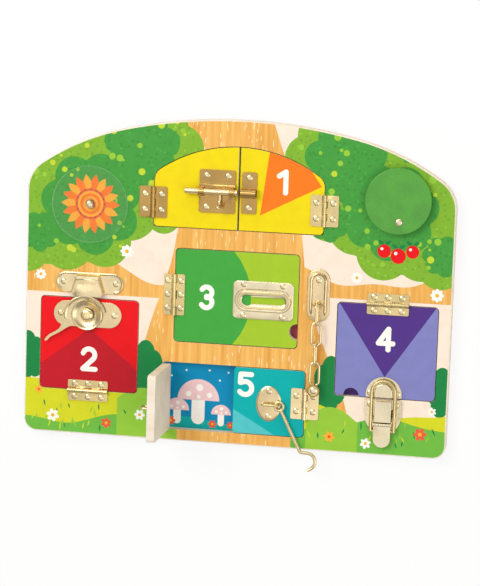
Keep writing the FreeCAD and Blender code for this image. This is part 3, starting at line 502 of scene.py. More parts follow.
def toadstools():
    """The print in pocket 5: three toadstools on low ground under a few dots."""
    out = [("teal_deep", rect(-90, 0, 90, 90)), ("teal_light", [(-90, 90), (-90, 60), (-30, 90)]),
           ("teal", wave(-72, 72, 19, [(2.5, 1.3, 0.4)], 0))]
    out += mushroom(-34, 16, 21) + mushroom(-54, 15, 12) + mushroom(-12, 15, 10)
    for x, y, r in ((-60, 17, 4.5), (-20, 16, 4), (-3, 16, 3.5)):
        out += flower(x, y, r, 6, "coral", "amber")
    for x, y in ((-60, 60), (-46, 66), (-14, 58), (-6, 66), (-24, 67)):
        out.append(("white", disc(x, y, 0.9, 12)))
    return out


def flower_row(field, ink, cx, cy):
    """Five flowers in a row on a plain field."""
    heart = "coral" if ink != "coral" else "yellow"
    out = [(field, WHOLE)]
    for k in range(5):
        out += flower(cx + (k - 2) * 17, cy + 9 * math.cos(k * 2.1), 7 + 2 * (k % 2), 7, ink, heart)
    return out


POCKETS = {
    "pocket_1": ((-80.0, 200.8, 80.0, 278.6), flower_row("leaf_light", "coral", 0.0, 236.0)),
    "pocket_2": ((-185.6, 41.8, -90.8, 130.3), flower_row("teal", "amber", -138.2, 86.0)),
    "pocket_3": ((-57.8, 93.9, 59.2, 182.3), flower_row("rose", "amber", 0.0, 138.0)),
    "pocket_4": ((94.8, 53.2, 188.6, 141.2), flower_row("purple", "white", 141.7, 97.0)),
    "pocket_5": ((-68.2, 10.8, 68.2, 74.6), toadstools()),
}


# Printed faces as thin closed layers
def to_closed(v):
    """A point of the open leaf, turned back to where the leaf is closed, mm."""
    x, z = v[0] - OPEN_LEAF_X, v[2] - OPEN_LEAF_Z
    return OPEN_LEAF_X + z, v[1], OPEN_LEAF_Z - x


def to_open(v):
    x, z = v[0] - OPEN_LEAF_X, v[2] - OPEN_LEAF_Z
    return OPEN_LEAF_X - z, v[1], OPEN_LEAF_Z + x


def mm_points(name):
    """A node's vertices in mm, those of the open leaf turned back to where it is closed."""
    pts = [tuple(c / MM for c in v.co) for v in NODES[name].data.vertices]
    return [to_closed(p) for p in pts] if name.startswith(OPEN_LEAF) else pts


def welded(pts):
    """The number of each point's spot, and the spots."""
    spots = {}
    index = [spots.setdefault(tuple(round(c, 3) for c in p), len(spots)) for p in pts]
    return index, list(spots)


def face_loops(name, level):
    """Outlines of a node's flat top, each a list of plan points, the widest first."""
    index, where = welded(mm_points(name))
    used = {}
    for poly in NODES[name].data.polygons:
        ring = [index[i] for i in poly.vertices]
        if all(abs(where[i][2] - level) < 0.01 for i in ring):
            used.update((edge, True) for edge in around(ring))
    after = {a: b for a, b in used if (b, a) not in used}
    loops = []
    while after:
        start = next(iter(after))
        ring, at = [], start
        while at in after:
            ring.append(at)
            at = after.pop(at)
        loops.append([(where[i][0], where[i][1] + HALF_H) for i in ring])
    loops = [ring for ring in loops if abs(twice_area(ring)) / 2 > LEAST_LOOP]
    return sorted(loops, key=lambda ring: -abs(twice_area(ring)))


def in_scene(name, data):
    made = bpy.data.objects.new(name, data)
    bpy.context.scene.collection.objects.link(made)
    return made


def make_object(name, verts, faces, materials, indices=None):
    """A mesh in the scene from vertices in mm."""
    mesh = bpy.data.meshes.new(name)
    mesh.from_pydata([tuple(c * MM for c in v) for v in verts], [], faces)
    for mat in materials:
        mesh.materials.append(mat)
    if indices:
        mesh.polygons.foreach_set("material_index", indices)
    mesh.update()
    return in_scene(name, mesh)


def triangulated(rings):
    """The points and triangles that rings cut their plane into, and the rings that hold each triangle."""
    flat, faces = [], []
    for ring in rings:
        faces.append(list(range(len(flat), len(flat) + len(ring))))
        flat += [Vector(p) for p in leftward(ring)]
    verts, _, tris, _, _, holders = delaunay_2d_cdt(flat, [], faces, 0, 1e-4)
    return verts, [tuple(tri) for tri in tris], holders


def open_edges(tris):
    """The edges that have a triangle on one side only."""
    edges = {edge for tri in tris for edge in around(tri)}
    return [(a, b) for a, b in edges if (b, a) not in edges]


def closed_sheet(name, tris, rim, upper, lower, materials, indices=None):
    """A closed object from the upper points' triangles, the same below and a wall along the rim."""
    count = len(upper)
    faces = tris + [tuple(count + i for i in reversed(tri)) for tri in tris]
    faces += [(b, a, count + a, count + b) for a, b in rim]
    made = make_object(name, upper + lower, faces, materials, indices)
    work = bmesh.new()
    work.from_mesh(made.data)
    bmesh.ops.delete(work, geom=[v for v in work.verts if not v.link_faces], context="VERTS")
    work.to_mesh(made.data)
    work.free()
    return made


def printed_layer(name, body, outer, holes, art, level, place=None):
    """One closed layer of ink, coloured everywhere by the topmost shape of the art."""
    verts, tris, holders = triangulated([outer] + holes + [shape for _, shape in art])
    first_art = 1 + len(holes)
    inks, kept, colours = [], [], []
    for tri, own in zip(tris, holders):
        if 0 not in own or any(0 < k < first_art for k in own):
            continue
        ink = art[max(own) - first_art][0]
        if ink not in inks:
            inks.append(ink)
        kept.append(tri)
        colours.append(inks.index(ink))
    rim = open_edges(kept)
    owner = {edge: colour for tri, colour in zip(kept, colours) for edge in around(tri)}
    upper = [(v.x, v.y - HALF_H, level + PRINT_RISE) for v in verts]
    lower = [(v.x, v.y - HALF_H, level - PRINT_SINK) for v in verts]
    if place:
        upper, lower = [place(p) for p in upper], [place(p) for p in lower]
    made = closed_sheet(name, kept, rim, upper, lower, [INKS[ink] for ink in inks],
                        colours + colours + [owner[edge] for edge in rim])
    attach(made, body)


board_loops = face_loops("board_panel", FACE)
printed_layer("board_print", "board", board_loops[0], board_loops[1:], board_art(), FACE)
for door, (field, block, number) in DOOR_ART.items():
    outer, art = face_loops(door, FACE)[0], [(field, WHOLE)] + block + number
    printed_layer(door + "_print", door, outer, [], art, FACE,
                  to_open if door == OPEN_LEAF else None)
for pocket, (corners, art) in POCKETS.items():
    printed_layer(pocket + "_print", "board", rect(*corners), [], art, POCKET_FLOOR)


# Finishes of the CAD nodes: the first of these that a node's name holds gives its own. The bolt and the first
# left hinge take a darker copy of the brass, which is painted shade. The chain links and the fifth right
# hinge take a lighter copy, which is painted light.
FINISHES = (("screw", SCREW), ("pins", SCREW), ("board_panel", PLY), ("door", PLY), ("back_panel", BACKING),
            ("clear_disc", CLEAR), ("green_disc", DISC_GREEN), ("latch_bail", BRASS), ("sash", BRASS_WARM),
            ("eye", BRASS_WARM), ("bolt_rod", BRASS_WARM), ("latch", BRASS_PALE), ("catch", BRASS_PALE),
            ("bolt", BRASS_SHADED), ("hinge_1_left", BRASS_SHADED), ("chain_link", BRASS_LIT),
            ("hinge_5_right", BRASS_LIT), ("", BRASS))
for name, obj in NODES.items():
    obj.data.materials.clear()
    obj.data.materials.append(next(mat for key, mat in FINISHES if key in name))


def smooth_by_angle(mesh, degrees):
    mesh.polygons.foreach_set("use_smooth", [True] * len(mesh.polygons))
    mesh.set_sharp_from_angle(angle=math.radians(degrees))


def dressed(name, width):
    """A copy of a CAD node with its sharp edges rounded, which stands for the node."""
    source = NODES[name]
    mesh = source.data.copy()
    made = in_scene(name + "_dressed", mesh)
    work = bmesh.new()
    work.from_mesh(mesh)
    bmesh.ops.remove_doubles(work, verts=work.verts, dist=1e-6)
    bmesh.ops.dissolve_limit(work, angle_limit=math.radians(1.0), verts=work.verts, edges=work.edges)
    work.to_mesh(mesh)
    work.free()
    smooth_by_angle(mesh, 35)
    bevel = made.modifiers.new("edges", "BEVEL")
    bevel.width = width * MM
    bevel.segments = 2
    bevel.limit_method = "ANGLE"
    bevel.angle_limit = math.radians(35)
    bevel.harden_normals = True
    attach(made, source["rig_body"])
    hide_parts(name)
    return made


SOFT_EDGES = [n for n in NODES if n.startswith("hinge_") and n != "hinge_pins"]
SOFT_EDGES += ["bolt_plate", "bolt_keeper", "sash_base", "latch_base", "latch_lever", "catch_plate"]
EDGE_WIDTHS = {"latch_lever": 0.5, "latch_base": 0.4}
for name in SOFT_EDGES:
    dressed(name, EDGE_WIDTHS.get(name, 0.25))


# Pressed plates: a plan of rings, with a height for every point. A bar is (x, y, length, width), mm
def bar(cx, cy, length, width, upright=False, n=28):
    """A bar with round ends."""
    half = (length - width) / 2
    pts = []
    for k in range(2 * n):
        a = math.pi * (k / (n - 1) - 0.5) if k < n else math.pi * ((k - n) / (n - 1) + 0.5)
        pts.append(((half if k < n else -half) + width / 2 * math.cos(a), width / 2 * math.sin(a)))
    return [(cx - w, cy + u) if upright else (cx + u, cy + w) for u, w in pts]


def bar_depth(x, y, cx, cy, length, width, upright=False):
    """How far a point lies inside a bar's edge, negative outside."""
    u, w = (y - cy, x - cx) if upright else (x - cx, y - cy)
    over = max(abs(u) - (length - width) / 2, 0)
    return width / 2 - math.hypot(over, w)


def rounded_rect(cx, cy, w, h, r, n=8):
    pts = []
    for sx, sy, start in ((1, 1, 0), (-1, 1, 90), (-1, -1, 180), (1, -1, 270)):
        pts += arc_points(cx + sx * (w / 2 - r), cy + sy * (h / 2 - r), r, start, start + 90, n)
    return pts


def along(profile, d):
    """Height from a list of (distance, height), smooth between its entries."""
    if d <= profile[0][0]:
        return profile[0][1]
    for (d0, h0), (d1, h1) in zip(profile, profile[1:]):
        if d <= d1:
            t = (d - d0) / (d1 - d0)
            return h0 + (h1 - h0) * t * t * (3 - 2 * t)
    return profile[-1][1]


def pressed(name, replaced, outlines, holes, guides, height, foot, mat, angle=38):
    """A closed plate over the outlines less its holes, from a level foot or foot(x, y) to height(x, y)."""
    verts, tris, holders = triangulated(outlines + holes + guides)
    solid, cut = set(range(len(outlines))), set(range(len(outlines), len(outlines) + len(holes)))
    kept = [tri for tri, own in zip(tris, holders) if solid & set(own) and not cut & set(own)]
    upper = [(v.x, v.y - HALF_H, FACE + height(v.x, v.y)) for v in verts]
    lower = [(v.x, v.y - HALF_H, FACE + (foot(v.x, v.y) if callable(foot) else foot)) for v in verts]
    made = closed_sheet(name, kept, open_edges(kept), upper, lower, [mat])
    smooth_by_angle(made.data, angle)
    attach(made, NODES[replaced]["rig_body"])
    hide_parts(replaced)


def bars_inside(shape, distances, upright=False):
    """A bar's outline moved inwards by each distance."""
    cx, cy, length, width = shape
    return [bar(cx, cy, length - 2 * d, width - 2 * d, upright) for d in distances]


# Slide plate: flat margin, raised ridge, trough and a lip round the keyhole
PLATE_FOOT = 0.02
SLIDE = (25.9, 137.5, 56.8, 35.4)
SLIDE_CORNER = 5.0
RIDGE = (26.0, 137.5, 53.2, 21.5)
LIP = (26.2, 137.5, 45.6, 13.4)
KEY_X = 11.2
KEY_R = 5.2
KEY_END = 43.35
KEY_HALF = 3.3
RIDGE_FORM = [(0, 1.2), (1.0, 2.5), (2.1, 2.5), (3.4, 1.0)]
LIP_FORM = [(0, 1.0), (0.9, 2.0), (1.6, 1.9), (2.4, 1.5)]
MARGIN_FORM = [(0, 0.75), (0.35, 1.1), (0.7, 1.2)]
FINE = (0, 0.35, 0.7, 1.0, 1.4, 1.8, 2.1, 2.5, 3.0, 3.4)


def slide_height(x, y):
    lip = bar_depth(x, y, *LIP)
    ridge = bar_depth(x, y, *RIDGE)
    if lip > 0:
        return along(LIP_FORM, lip)
    if ridge > 0:
        return along(RIDGE_FORM, ridge)
    cx, cy, w, h = SLIDE
    margin = min(w / 2 - abs(x - cx), h / 2 - abs(y - cy))
    return along(MARGIN_FORM, margin)


def slide_outline(d):
    """The plate's outline moved inwards by d."""
    cx, cy, w, h = SLIDE
    return rounded_rect(cx, cy, w - 2 * d, h - 2 * d, SLIDE_CORNER - d)


def keyhole():
    a = math.degrees(math.asin(KEY_HALF / KEY_R))
    cy = SLIDE[1]
    return arc_points(KEY_X, cy, KEY_R, a, 360 - a, 40) + arc_points(KEY_END, cy, KEY_HALF, -90, 90, 16)


slide_guides = [slide_outline(d) for d in (0.35, 0.7)]
slide_guides += bars_inside(RIDGE, FINE) + bars_inside(LIP, (0, 0.4, 0.9, 1.3))
pressed("slide_plate_pressed", "chain_slide_plate", [slide_outline(0)], [keyhole()], slide_guides,
        slide_height, PLATE_FOOT, BRASS_PALE)

# Anchor: flange, raised case open towards the chain, and the staple
ANCHOR = (77.2, 145.7, 49.4, 21.0)
CASE = (77.2, 145.7, 43.0, 16.4)
CASE_FORM = [(0, 1.2), (0.8, 3.0), (1.3, 3.3), (2.0, 3.1), (3.0, 1.35)]
STAPLE_Y = 137.0
STAPLE_HALF = 3.9
STAPLE_WIRE = 1.1
STAPLE_TOP = 7.0
STAPLE_ROOT = 1.0

# The case's notch: its top, its floor, half its width there, its spread downwards, its sides' slope
NOTCH_TOP = STAPLE_Y + 3
NOTCH_FLOOR = 1.3
NOTCH_HALF = 2.4
NOTCH_SPREAD = 0.28
NOTCH_SLOPE = 1.2
NOTCH_GUIDE_Y = 124.0
NOTCH_GUIDE_SPREAD = 4.4


def anchor_height(x, y):
    case = bar_depth(x, y, *CASE, True)
    level = along(CASE_FORM, case) if case > 0 else along(MARGIN_FORM, bar_depth(x, y, *ANCHOR, True))
    swing = NOTCH_TOP - y
    if swing > 0 and case > 0:
        beside = abs(x - ANCHOR[0]) - NOTCH_HALF - NOTCH_SPREAD * swing
        level = min(level, NOTCH_FLOOR + max(0, beside) * NOTCH_SLOPE)
    return level


def notch_ring(half):
    """A guide along the notch, from half its width at its top to wider below."""
    left, right = ANCHOR[0] - half, ANCHOR[0] + half
    return [(left - NOTCH_GUIDE_SPREAD, NOTCH_GUIDE_Y), (right + NOTCH_GUIDE_SPREAD, NOTCH_GUIDE_Y),
            (right, NOTCH_TOP), (left, NOTCH_TOP)]


def staple_bow():
    """Two legs up from the plate and a round bow over them."""
    left, right, shoulder = ANCHOR[0] - STAPLE_HALF, ANCHOR[0] + STAPLE_HALF, FACE + STAPLE_TOP - STAPLE_HALF
    bow = [(left, STAPLE_Y, FACE + STAPLE_ROOT), (left, STAPLE_Y, shoulder)]
    bow += [(ANCHOR[0] + u, STAPLE_Y, shoulder + w) for u, w in arc_points(0, 0, STAPLE_HALF, 170, 10, 12)]
    return bow + [(right, STAPLE_Y, shoulder), (right, STAPLE_Y, FACE + STAPLE_ROOT)]


anchor_guides = bars_inside(ANCHOR, (0.35, 0.7), True) + bars_inside(CASE, FINE, True)
anchor_guides += [notch_ring(half) for half in (2.4, 3.4, 4.4)]
pressed("anchor_pressed", "chain_anchor", [bar(*ANCHOR, True)], [], anchor_guides, anchor_height,
        PLATE_FOOT, BRASS_WARM)


def wire(name, points, radius, body, mat, closed=False, replaced=()):
    """A round wire along smooth points in mm, heights above the board's bottom edge, z from the back."""
    curve = bpy.data.curves.new(name, "CURVE")
    curve.dimensions = "3D"
    curve.bevel_depth = radius * MM
    curve.bevel_resolution = 5
    curve.use_fill_caps = True
    spline = curve.splines.new("POLY")
    spline.points.add(len(points) - 1)
    for point, (x, y, z) in zip(spline.points, points):
        point.co = (x * MM, (y - HALF_H) * MM, z * MM, 1)
    spline.use_cyclic_u = closed
    spline.use_smooth = True
    curve.materials.append(mat)
    made = in_scene(name, curve)
    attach(made, body)
    if replaced:
        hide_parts(*replaced)


wire("staple", staple_bow(), STAPLE_WIRE, "board", BRASS)


# Turned pieces: a profile of (radius, height) round an upright axis
TURNED_SIDES = 56


def lathed(profile, n):
    """The profile's rings of n points each, with the faces between them and the lowest one's cap."""
    verts, faces = [], []
    for radius, z in profile:
        verts += [(radius * math.cos(2 * math.pi * k / n), radius * math.sin(2 * math.pi * k / n), z)
                  for k in range(n)]
    for level in range(len(profile) - 1):
        for k in range(n):
            a, b = level * n + k, level * n + (k + 1) % n
            faces.append((a, b, b + n, a + n))
    return verts, faces + [tuple(range(n - 1, -1, -1))]


def turned(name, carrier, cx, cy, base, profile, mat):
    """A turned piece that rides with its carrier, its profile's heights taken from base."""
    verts, faces = lathed([(radius, base + z) for radius, z in profile], TURNED_SIDES)
    faces.append(tuple(range(len(verts) - TURNED_SIDES, len(verts))))
    placed = [(cx + x, cy - HALF_H + y, z) for x, y, z in verts]
    made = make_object(name, placed, faces, [mat])
    smooth_by_angle(made.data, 38)
    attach(made, NODES[carrier]["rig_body"])


# Eye plate: a shallow dome with a bent wire eye
EYE = (34.4, 41.2, 23.6, 33.4)
EYE_FORM = [(0, 0.55), (0.8, 1.05), (2.2, 1.25), (6.0, 1.5), (11.0, 1.9)]
EYE_LEGS = (29.2, 44.2)
EYE_WIRE = 1.2
EYE_ROOT = FACE + 0.8
EYE_SHOULDER = FACE + 5.4
EYE_BEND = 2.2


def eye_height(x, y):
    cx, cy, w, h = EYE
    return along(EYE_FORM, (1 - math.hypot((x - cx) / (w / 2), (y - cy) / (h / 2))) * w / 2)


def eye_ring(d):
    share = 1 - d / (EYE[2] / 2)
    return disc(EYE[0], EYE[1], EYE[2] / 2 * share, 56, EYE[3] / 2 * share)


def eye_bow():
    """Two legs up from the plate with a bar across, rounded where they meet."""
    left, right = EYE_LEGS
    y = EYE[1]
    bow = [(left, y, EYE_ROOT)]
    for x, start in ((left + EYE_BEND, 180), (right - EYE_BEND, 90)):
        bow += [(x + u, y, EYE_SHOULDER + w) for u, w in arc_points(0, 0, EYE_BEND, start, start - 90, 6)]
    return bow + [(right, y, EYE_ROOT)]


eye_guides = [eye_ring(d) for d in (0.4, 0.8, 1.5, 2.2, 4.0, 6.0, 8.5)]
pressed("eye_plate_pressed", "eye_plate", [eye_ring(0)], [], eye_guides, eye_height, PLATE_FOOT, BRASS_WARM)
wire("eye_bow", eye_bow(), EYE_WIRE, NODES["eye_plate"]["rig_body"], BRASS)

# Sash keeper: a plate with a raised rim and a sheet hood, open below, that the lever turns under
SASH = (-140.0, 114.6)
KEEPER = (-138.6, 144.6, 64.5, 19.5)
KEEPER_FORM = [(0, 0.75), (0.5, 1.7), (1.0, 1.9), (1.6, 1.7), (2.4, 1.2)]
MOUTH_HALF = 26.0
MOUTH_TOP = 137.4
MOUTH_FLOOR = 1.2
MOUTH_SLOPE = 0.5

# The hood's half widths at its front and back, and the heights of its mouth, shoulder and back
HOOD = (16.5, 11.0, 132.3, 135.8, 152.6)
HOOD_FORM = [(0, 1.2), (1.0, 4.4), (2.15, 6.0), (10.5, 7.5)]
HOOD_ROOM = 2.15
HOOD_ROOM_TOP = 143.65
HOOD_CEILING = 5.45
HOOD_LIP = 1.1


def hood_half(y):
    wide, narrow, _, shoulder, back = HOOD
    return wide - max(0, y - shoulder) * (wide - narrow) / (back - shoulder)


def hood_ring(d, low=130.0, high=None):
    """The hood's outline moved inwards by d at the sides and by twice that at its back."""
    _, _, _, shoulder, back = HOOD
    top = high or back - 2 * d
    right = [(SASH[0] + hood_half(low) - d, low), (SASH[0] + hood_half(shoulder) - d, shoulder),
             (SASH[0] + hood_half(top) - d, top)]
    return right + [(2 * SASH[0] - x, y) for x, y in reversed(right)]


def hood_depth(x, y):
    return min(hood_half(y) - abs(x - SASH[0]), (HOOD[4] - y) / 2)


def keeper_height(x, y):
    rim = along(KEEPER_FORM, bar_depth(x, y, *KEEPER))
    if y < MOUTH_TOP:
        rim = min(rim, MOUTH_FLOOR + max(0, abs(x - SASH[0]) - MOUTH_HALF + 1) * MOUTH_SLOPE)
    return max(rim, along(HOOD_FORM, hood_depth(x, y)))


def keeper_foot(x, y):
    if hood_half(y) - abs(x - SASH[0]) > HOOD_ROOM and y < HOOD_ROOM_TOP:
        return HOOD_CEILING
    return PLATE_FOOT if bar_depth(x, y, *KEEPER) > 0 else HOOD_LIP


def hood_outline():
    """The hood's plan, with its front corners cut off."""
    wide, _, mouth, _, back = HOOD
    right = [(SASH[0] + wide - 4, mouth), (SASH[0] + wide, mouth + 3.5), (SASH[0] + hood_half(back), back)]
    return right + [(2 * SASH[0] - x, y) for x, y in reversed(right)]


keeper_guides = bars_inside(KEEPER, (0.25, 0.5, 1.0, 1.6, 2.4))
keeper_guides += [hood_ring(d) for d in (0.35, 0.7, 1.0, 1.5, 2.0, 3.0, 4.5, 6.0, 7.5)]
keeper_guides += [hood_ring(HOOD_ROOM + d, high=HOOD_ROOM_TOP - d) for d in (-0.05, 0.05)]
pressed("sash_keeper_pressed", "sash_keeper", [bar(*KEEPER), hood_outline()], [], keeper_guides,
        keeper_height, keeper_foot, BRASS_SATIN, 32)

# Sash lever: a dish round the rivet, a cam with a raised rim, and a lobe that runs out into a thin tail
DISH_R = 14.6
DISH_FORM = [(0.0, 2.6), (7.2, 2.7), (9.2, 3.0), (11.6, 4.0), (13.2, 5.0), (13.9, 5.15), (14.5, 4.8),
             (15.0, 4.2)]
RIVET_HOLE_R = 3.05
LEVER_FOOT = 2.3
CAM = (-142.0, 113.1, 20.0)
CAM_ENDS = (12, 190)
CAM_BELOW = 4
CAM_FORM = [(0, 4.2), (0.6, 4.8), (1.4, 4.95), (2.2, 4.5), (3.2, 4.1)]
LOBE = [(-21.9, 2.0), (-22.6, -4.5), (-24.2, -10.0), (-26.4, -14.4), (-30.5, -17.6), (-36.0, -20.8),
        (-40.2, -25.6), (-39.2, -27.2), (-37.4, -26.0), (-34.4, -22.8), (-29.2, -19.9), (-23.8, -16.6),
        (-18.6, -13.0), (-13.4, -10.6), (-10.0, -8.5)]
LOBE_END = (-9.0, 2.0)
LOBE_TOP = 4.5
LOBE_FALL = 0.03


def smoothed(points, n=4):
    """An open run of points with n steps between each two, through all of them."""
    out = []
    for k in range(len(points) - 1):
        a, b, c, d = (points[min(max(k + j, 0), len(points) - 1)] for j in (-1, 0, 1, 2))
        for i in range(n):
            t = i / n
            out.append(tuple(0.5 * (2 * q + (r - p) * t + (2 * p - 5 * q + 4 * r - w) * t * t
                                    + (3 * q - p - 3 * r + w) * t ** 3) for p, q, r, w in zip(a, b, c, d)))
    return out + [points[-1]]


def sash_height(x, y):
    r = math.hypot(x - SASH[0], y - SASH[1])
    if r < DISH_FORM[-1][0]:
        return along(DISH_FORM, r)
    depth = CAM[2] - math.hypot(x - CAM[0], y - CAM[1])
    if y > SASH[1] - CAM_BELOW:
        return along(CAM_FORM, depth)
    return LOBE_TOP + LOBE_FALL * (y - SASH[1])


def cam_ring(d):
    return arc_points(CAM[0], CAM[1], CAM[2] - d, *CAM_ENDS, 60)


lobe = [(SASH[0] + x, SASH[1] + y) for x, y in smoothed(LOBE) + [LOBE_END]]
lever_guides = [disc(*SASH, r, 64) for r in (7.2, 8.2, 9.2, 10.4, 11.6, 12.4, 13.2, 13.9, 14.2, 15.0)]
lever_guides += [cam_ring(d) for d in (0.3, 0.6, 1.0, 1.4, 1.8, 2.2, 2.7, 3.2)]
pressed("sash_lever_pressed", "sash_lever", [disc(*SASH, DISH_R, 64), cam_ring(0), lobe],
        [disc(*SASH, RIVET_HOLE_R, 32)], lever_guides, sash_height, LEVER_FOOT, BRASS_SATIN, 42)

# Chain button: a raised ring and a centre that stands in it
BUTTON_RING = [(5.3, 0.1), (5.9, 0.7), (5.9, 1.8), (5.5, 2.4), (4.8, 2.5), (4.3, 2.1), (4.0, 1.3),
               (1.0, 1.25)]
BUTTON_CENTRE = [(3.5, 1.2), (3.5, 1.9), (3.1, 2.3), (1.9, 2.6), (0.7, 2.7)]
BUTTON_Z = FACE + 8.6
BUTTON_R = 5.6
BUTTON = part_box("chain_button")
button_x = (BUTTON[0].x + BUTTON[1].x) / 2 / MM
button_y = BUTTON[0].y / MM + HALF_H + BUTTON_R
# The button's ring takes the darker copy of the brass: painted shade
turned("button_face", "chain_button", button_x, button_y, BUTTON_Z, BUTTON_RING, BRASS_SHADED)
turned("button_centre", "chain_button", button_x, button_y, BUTTON_Z, BUTTON_CENTRE, BRASS_PALE)

# Hook: a ring on the eye's leg, a shank, a bend one way and a curl the other
HOOK_LEG = (44.2, 41.2, FACE + 3.9)
HOOK_LEAN = math.radians(-63.1)
HOOK_SLACK = 1.35
HOOK_RING = 4.0
HOOK_RING_WIRE = 1.3
HOOK_WIRE = 1.65
HOOK_SHANK = 41.4
HOOK_BEND = 3.0
HOOK_KICK = 62
HOOK_RUN = 4.5
HOOK_CURL = 8.0
HOOK_LAST = -92
HOOK_TIP = 2.5


def hook_point(u, w):
    """A point of the hook from u along its shank and w to its left."""
    x, y, z = HOOK_LEG
    return *swung(u + HOOK_SLACK, w, HOOK_LEAN, x, y), z


def hook_path():
    """The wire's middle line from the ring to the tip, as (along the shank, to its left)."""
    shank_end = HOOK_RING + HOOK_SHANK
    kick, last = math.radians(HOOK_KICK), math.radians(HOOK_LAST)
    reach = HOOK_BEND + HOOK_CURL
    middle = (shank_end + reach * math.sin(kick) + HOOK_RUN * math.cos(kick),
              HOOK_BEND - reach * math.cos(kick) + HOOK_RUN * math.sin(kick))
    path = [(HOOK_RING, 0)]
    path += [(shank_end + u, HOOK_BEND + w) for u, w in arc_points(0, 0, HOOK_BEND, -90, HOOK_KICK - 90, 8)]
    path += arc_points(*middle, HOOK_CURL, HOOK_KICK + 90, HOOK_LAST + 90, 28)
    return path + [(path[-1][0] + HOOK_TIP * math.cos(last), path[-1][1] + HOOK_TIP * math.sin(last))]


wire("hook_ring", [hook_point(*p) for p in disc(0, 0, HOOK_RING, 40)], HOOK_RING_WIRE, "hook", BRASS_SATIN,
     True)
wire("hook_wire", [hook_point(*p) for p in hook_path()], HOOK_WIRE, "hook", BRASS_SATIN, replaced=("hook",))

# Cross-headed pieces. A cross is (arm, half its width, the crown's height, the recess's floor)
ROUND = 24
HEAD_H = 1.1
SCREW_PROFILE = [(1.1, -5.5), (1.1, 0.0), (2.85, 0.0), (2.8, 0.2), (2.4, 0.45), (1.85, 0.6)]
SCREW_CROSS = (1.35, 0.33, 0.66, 0.06)
RIVET_PROFILE = [(3.0, 1.2), (3.0, 5.0), (6.2, 5.0), (6.4, 5.4), (6.0, 6.2), (4.9, 7.0), (3.6, 7.4)]
RIVET_CROSS = (2.7, 0.7, FACE + 7.5, FACE + 6.3)

# A disc's screw: the washer and the shank under the disc, from the face, and the head, from the disc's top
DISC_SCREW_FOOT = [(4.0, 0.02), (4.0, 1.5), (2.0, 1.5)]
DISC_SCREW_HEAD = [(2.0, 0), (3.4, 0), (3.4, 0.5), (3.0, 1.1), (2.3, 1.4)]
DISC_SCREWS = (("clear_disc_screw", CLEAR_DISC, 16.7), ("green_disc_screw", GREEN_DISC_SCREW, 19.7))


def screw_sites(name):
    """Each screw's place in the plan and the height of its head's top, mm."""
    pts = mm_points(name)
    index, spots = welded(pts)
    parent = list(range(len(spots)))

    def root(i):
        while parent[i] != i:
            parent[i] = parent[parent[i]]
            i = parent[i]
        return i

    for poly in NODES[name].data.polygons:
        for i in poly.vertices[1:]:
            parent[root(index[i])] = root(index[poly.vertices[0]])
    groups = {}
    for spot, p in zip(index, pts):
        groups.setdefault(root(spot), []).append(p)
    sites = []
    for group in groups.values():
        xs, ys, zs = zip(*group)
        sites.append(((min(xs) + max(xs)) / 2, (min(ys) + max(ys)) / 2, max(zs)))
    return sorted(sites)


def cross_headed(profile, arm, half, crown, deep):
    """A turned piece from (radius, height) pairs with a cross recess in its crown: vertices and faces."""
    verts, faces = lathed(profile, ROUND)
    plus = [(arm, -half), (arm, half), (half, half), (half, arm), (-half, arm), (-half, half), (-arm, half),
            (-arm, -half), (-half, -half), (-half, -arm), (half, -arm), (half, -half)]
    corners = len(plus)
    flat = [Vector(v[:2]) for v in verts[-ROUND:]] + [Vector(p) for p in plus]
    rings = [list(range(ROUND)), list(range(ROUND, ROUND + corners))]
    _, _, tris, origin, _, owner = delaunay_2d_cdt(flat, [], rings, 0, 1e-6)
    first, top = len(verts) - ROUND, len(verts)
    verts += [(x, y, crown) for x, y in plus] + [(x * 0.8, y * 0.8, deep) for x, y in plus]
    where = [first + o[0] if o[0] < ROUND else top + o[0] - ROUND for o in origin]
    faces += [tuple(where[i] for i in tri) for tri, own in zip(tris, owner) if own == [0]]
    for k in range(corners):
        n = (k + 1) % corners
        faces.append((top + k, top + n, top + corners + n, top + corners + k))
    faces.append(tuple(top + corners + k for k in range(corners)))
    return verts, faces


def cross_piece(name, replaced, cx, cy, turn, profile, cross, mat, slot):
    """A cross-headed piece at a place in the plan, turned about its axis, in place of a node."""
    verts, faces = cross_headed(profile, *cross)
    placed = [(*swung(u, w, turn, cx, cy - HALF_H), z) for u, w, z in verts]
    made = make_object(name, placed, faces, [mat])
    smooth_by_angle(made.data, 40)
    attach(made, NODES[replaced]["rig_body"])
    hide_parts(replaced)


# The rivet's head takes the lighter copy of the brass: painted light
cross_piece("rivet_head", "sash_rivet", *SASH, 0.5, [(r, FACE + z) for r, z in RIVET_PROFILE], RIVET_CROSS,
            BRASS_LIT, "plated_brass")
for name, (x, y), top in DISC_SCREWS:
    profile = [(r, FACE + z) for r, z in DISC_SCREW_FOOT] + [(r, top + z) for r, z in DISC_SCREW_HEAD]
    cross_piece(name + "_head", name, x, y, 0.3, profile, (1.7, 0.42, top + 1.5, top + 0.5), BRASS_PALE,
                "screw_brass")

SCREW_PATTERN = cross_headed(SCREW_PROFILE, *SCREW_CROSS)
for name in [n for n in NODES if n.endswith("_screws")]:
    turns = random.Random(name)
    verts, faces = [], []
    for x, y, z in screw_sites(name):
        turn = turns.uniform(0, math.pi)
        count = len(verts)
        placed = [(*swung(u, w, turn, x, y), z - HEAD_H + h) for u, w, h in SCREW_PATTERN[0]]
        verts += [to_open(p) for p in placed] if name.startswith(OPEN_LEAF) else placed
        faces += [tuple(count + i for i in f) for f in SCREW_PATTERN[1]]
    made = make_object(name + "_heads", verts, faces, [SCREW])
    smooth_by_angle(made.data, 40)
    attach(made, NODES[name]["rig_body"])
    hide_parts(name)

# Floor, light and camera
FLOOR_HALF = 4000
FLOOR_Z = -1
FLOOR_GREY = (0.93, 0.93, 0.92, 1.0)
FLOOR_GLOW = 0.82
SKY_PALE = (1.0, 0.99, 0.975, 1.0)
SKY_STRENGTHS = (0.6, 1.0)

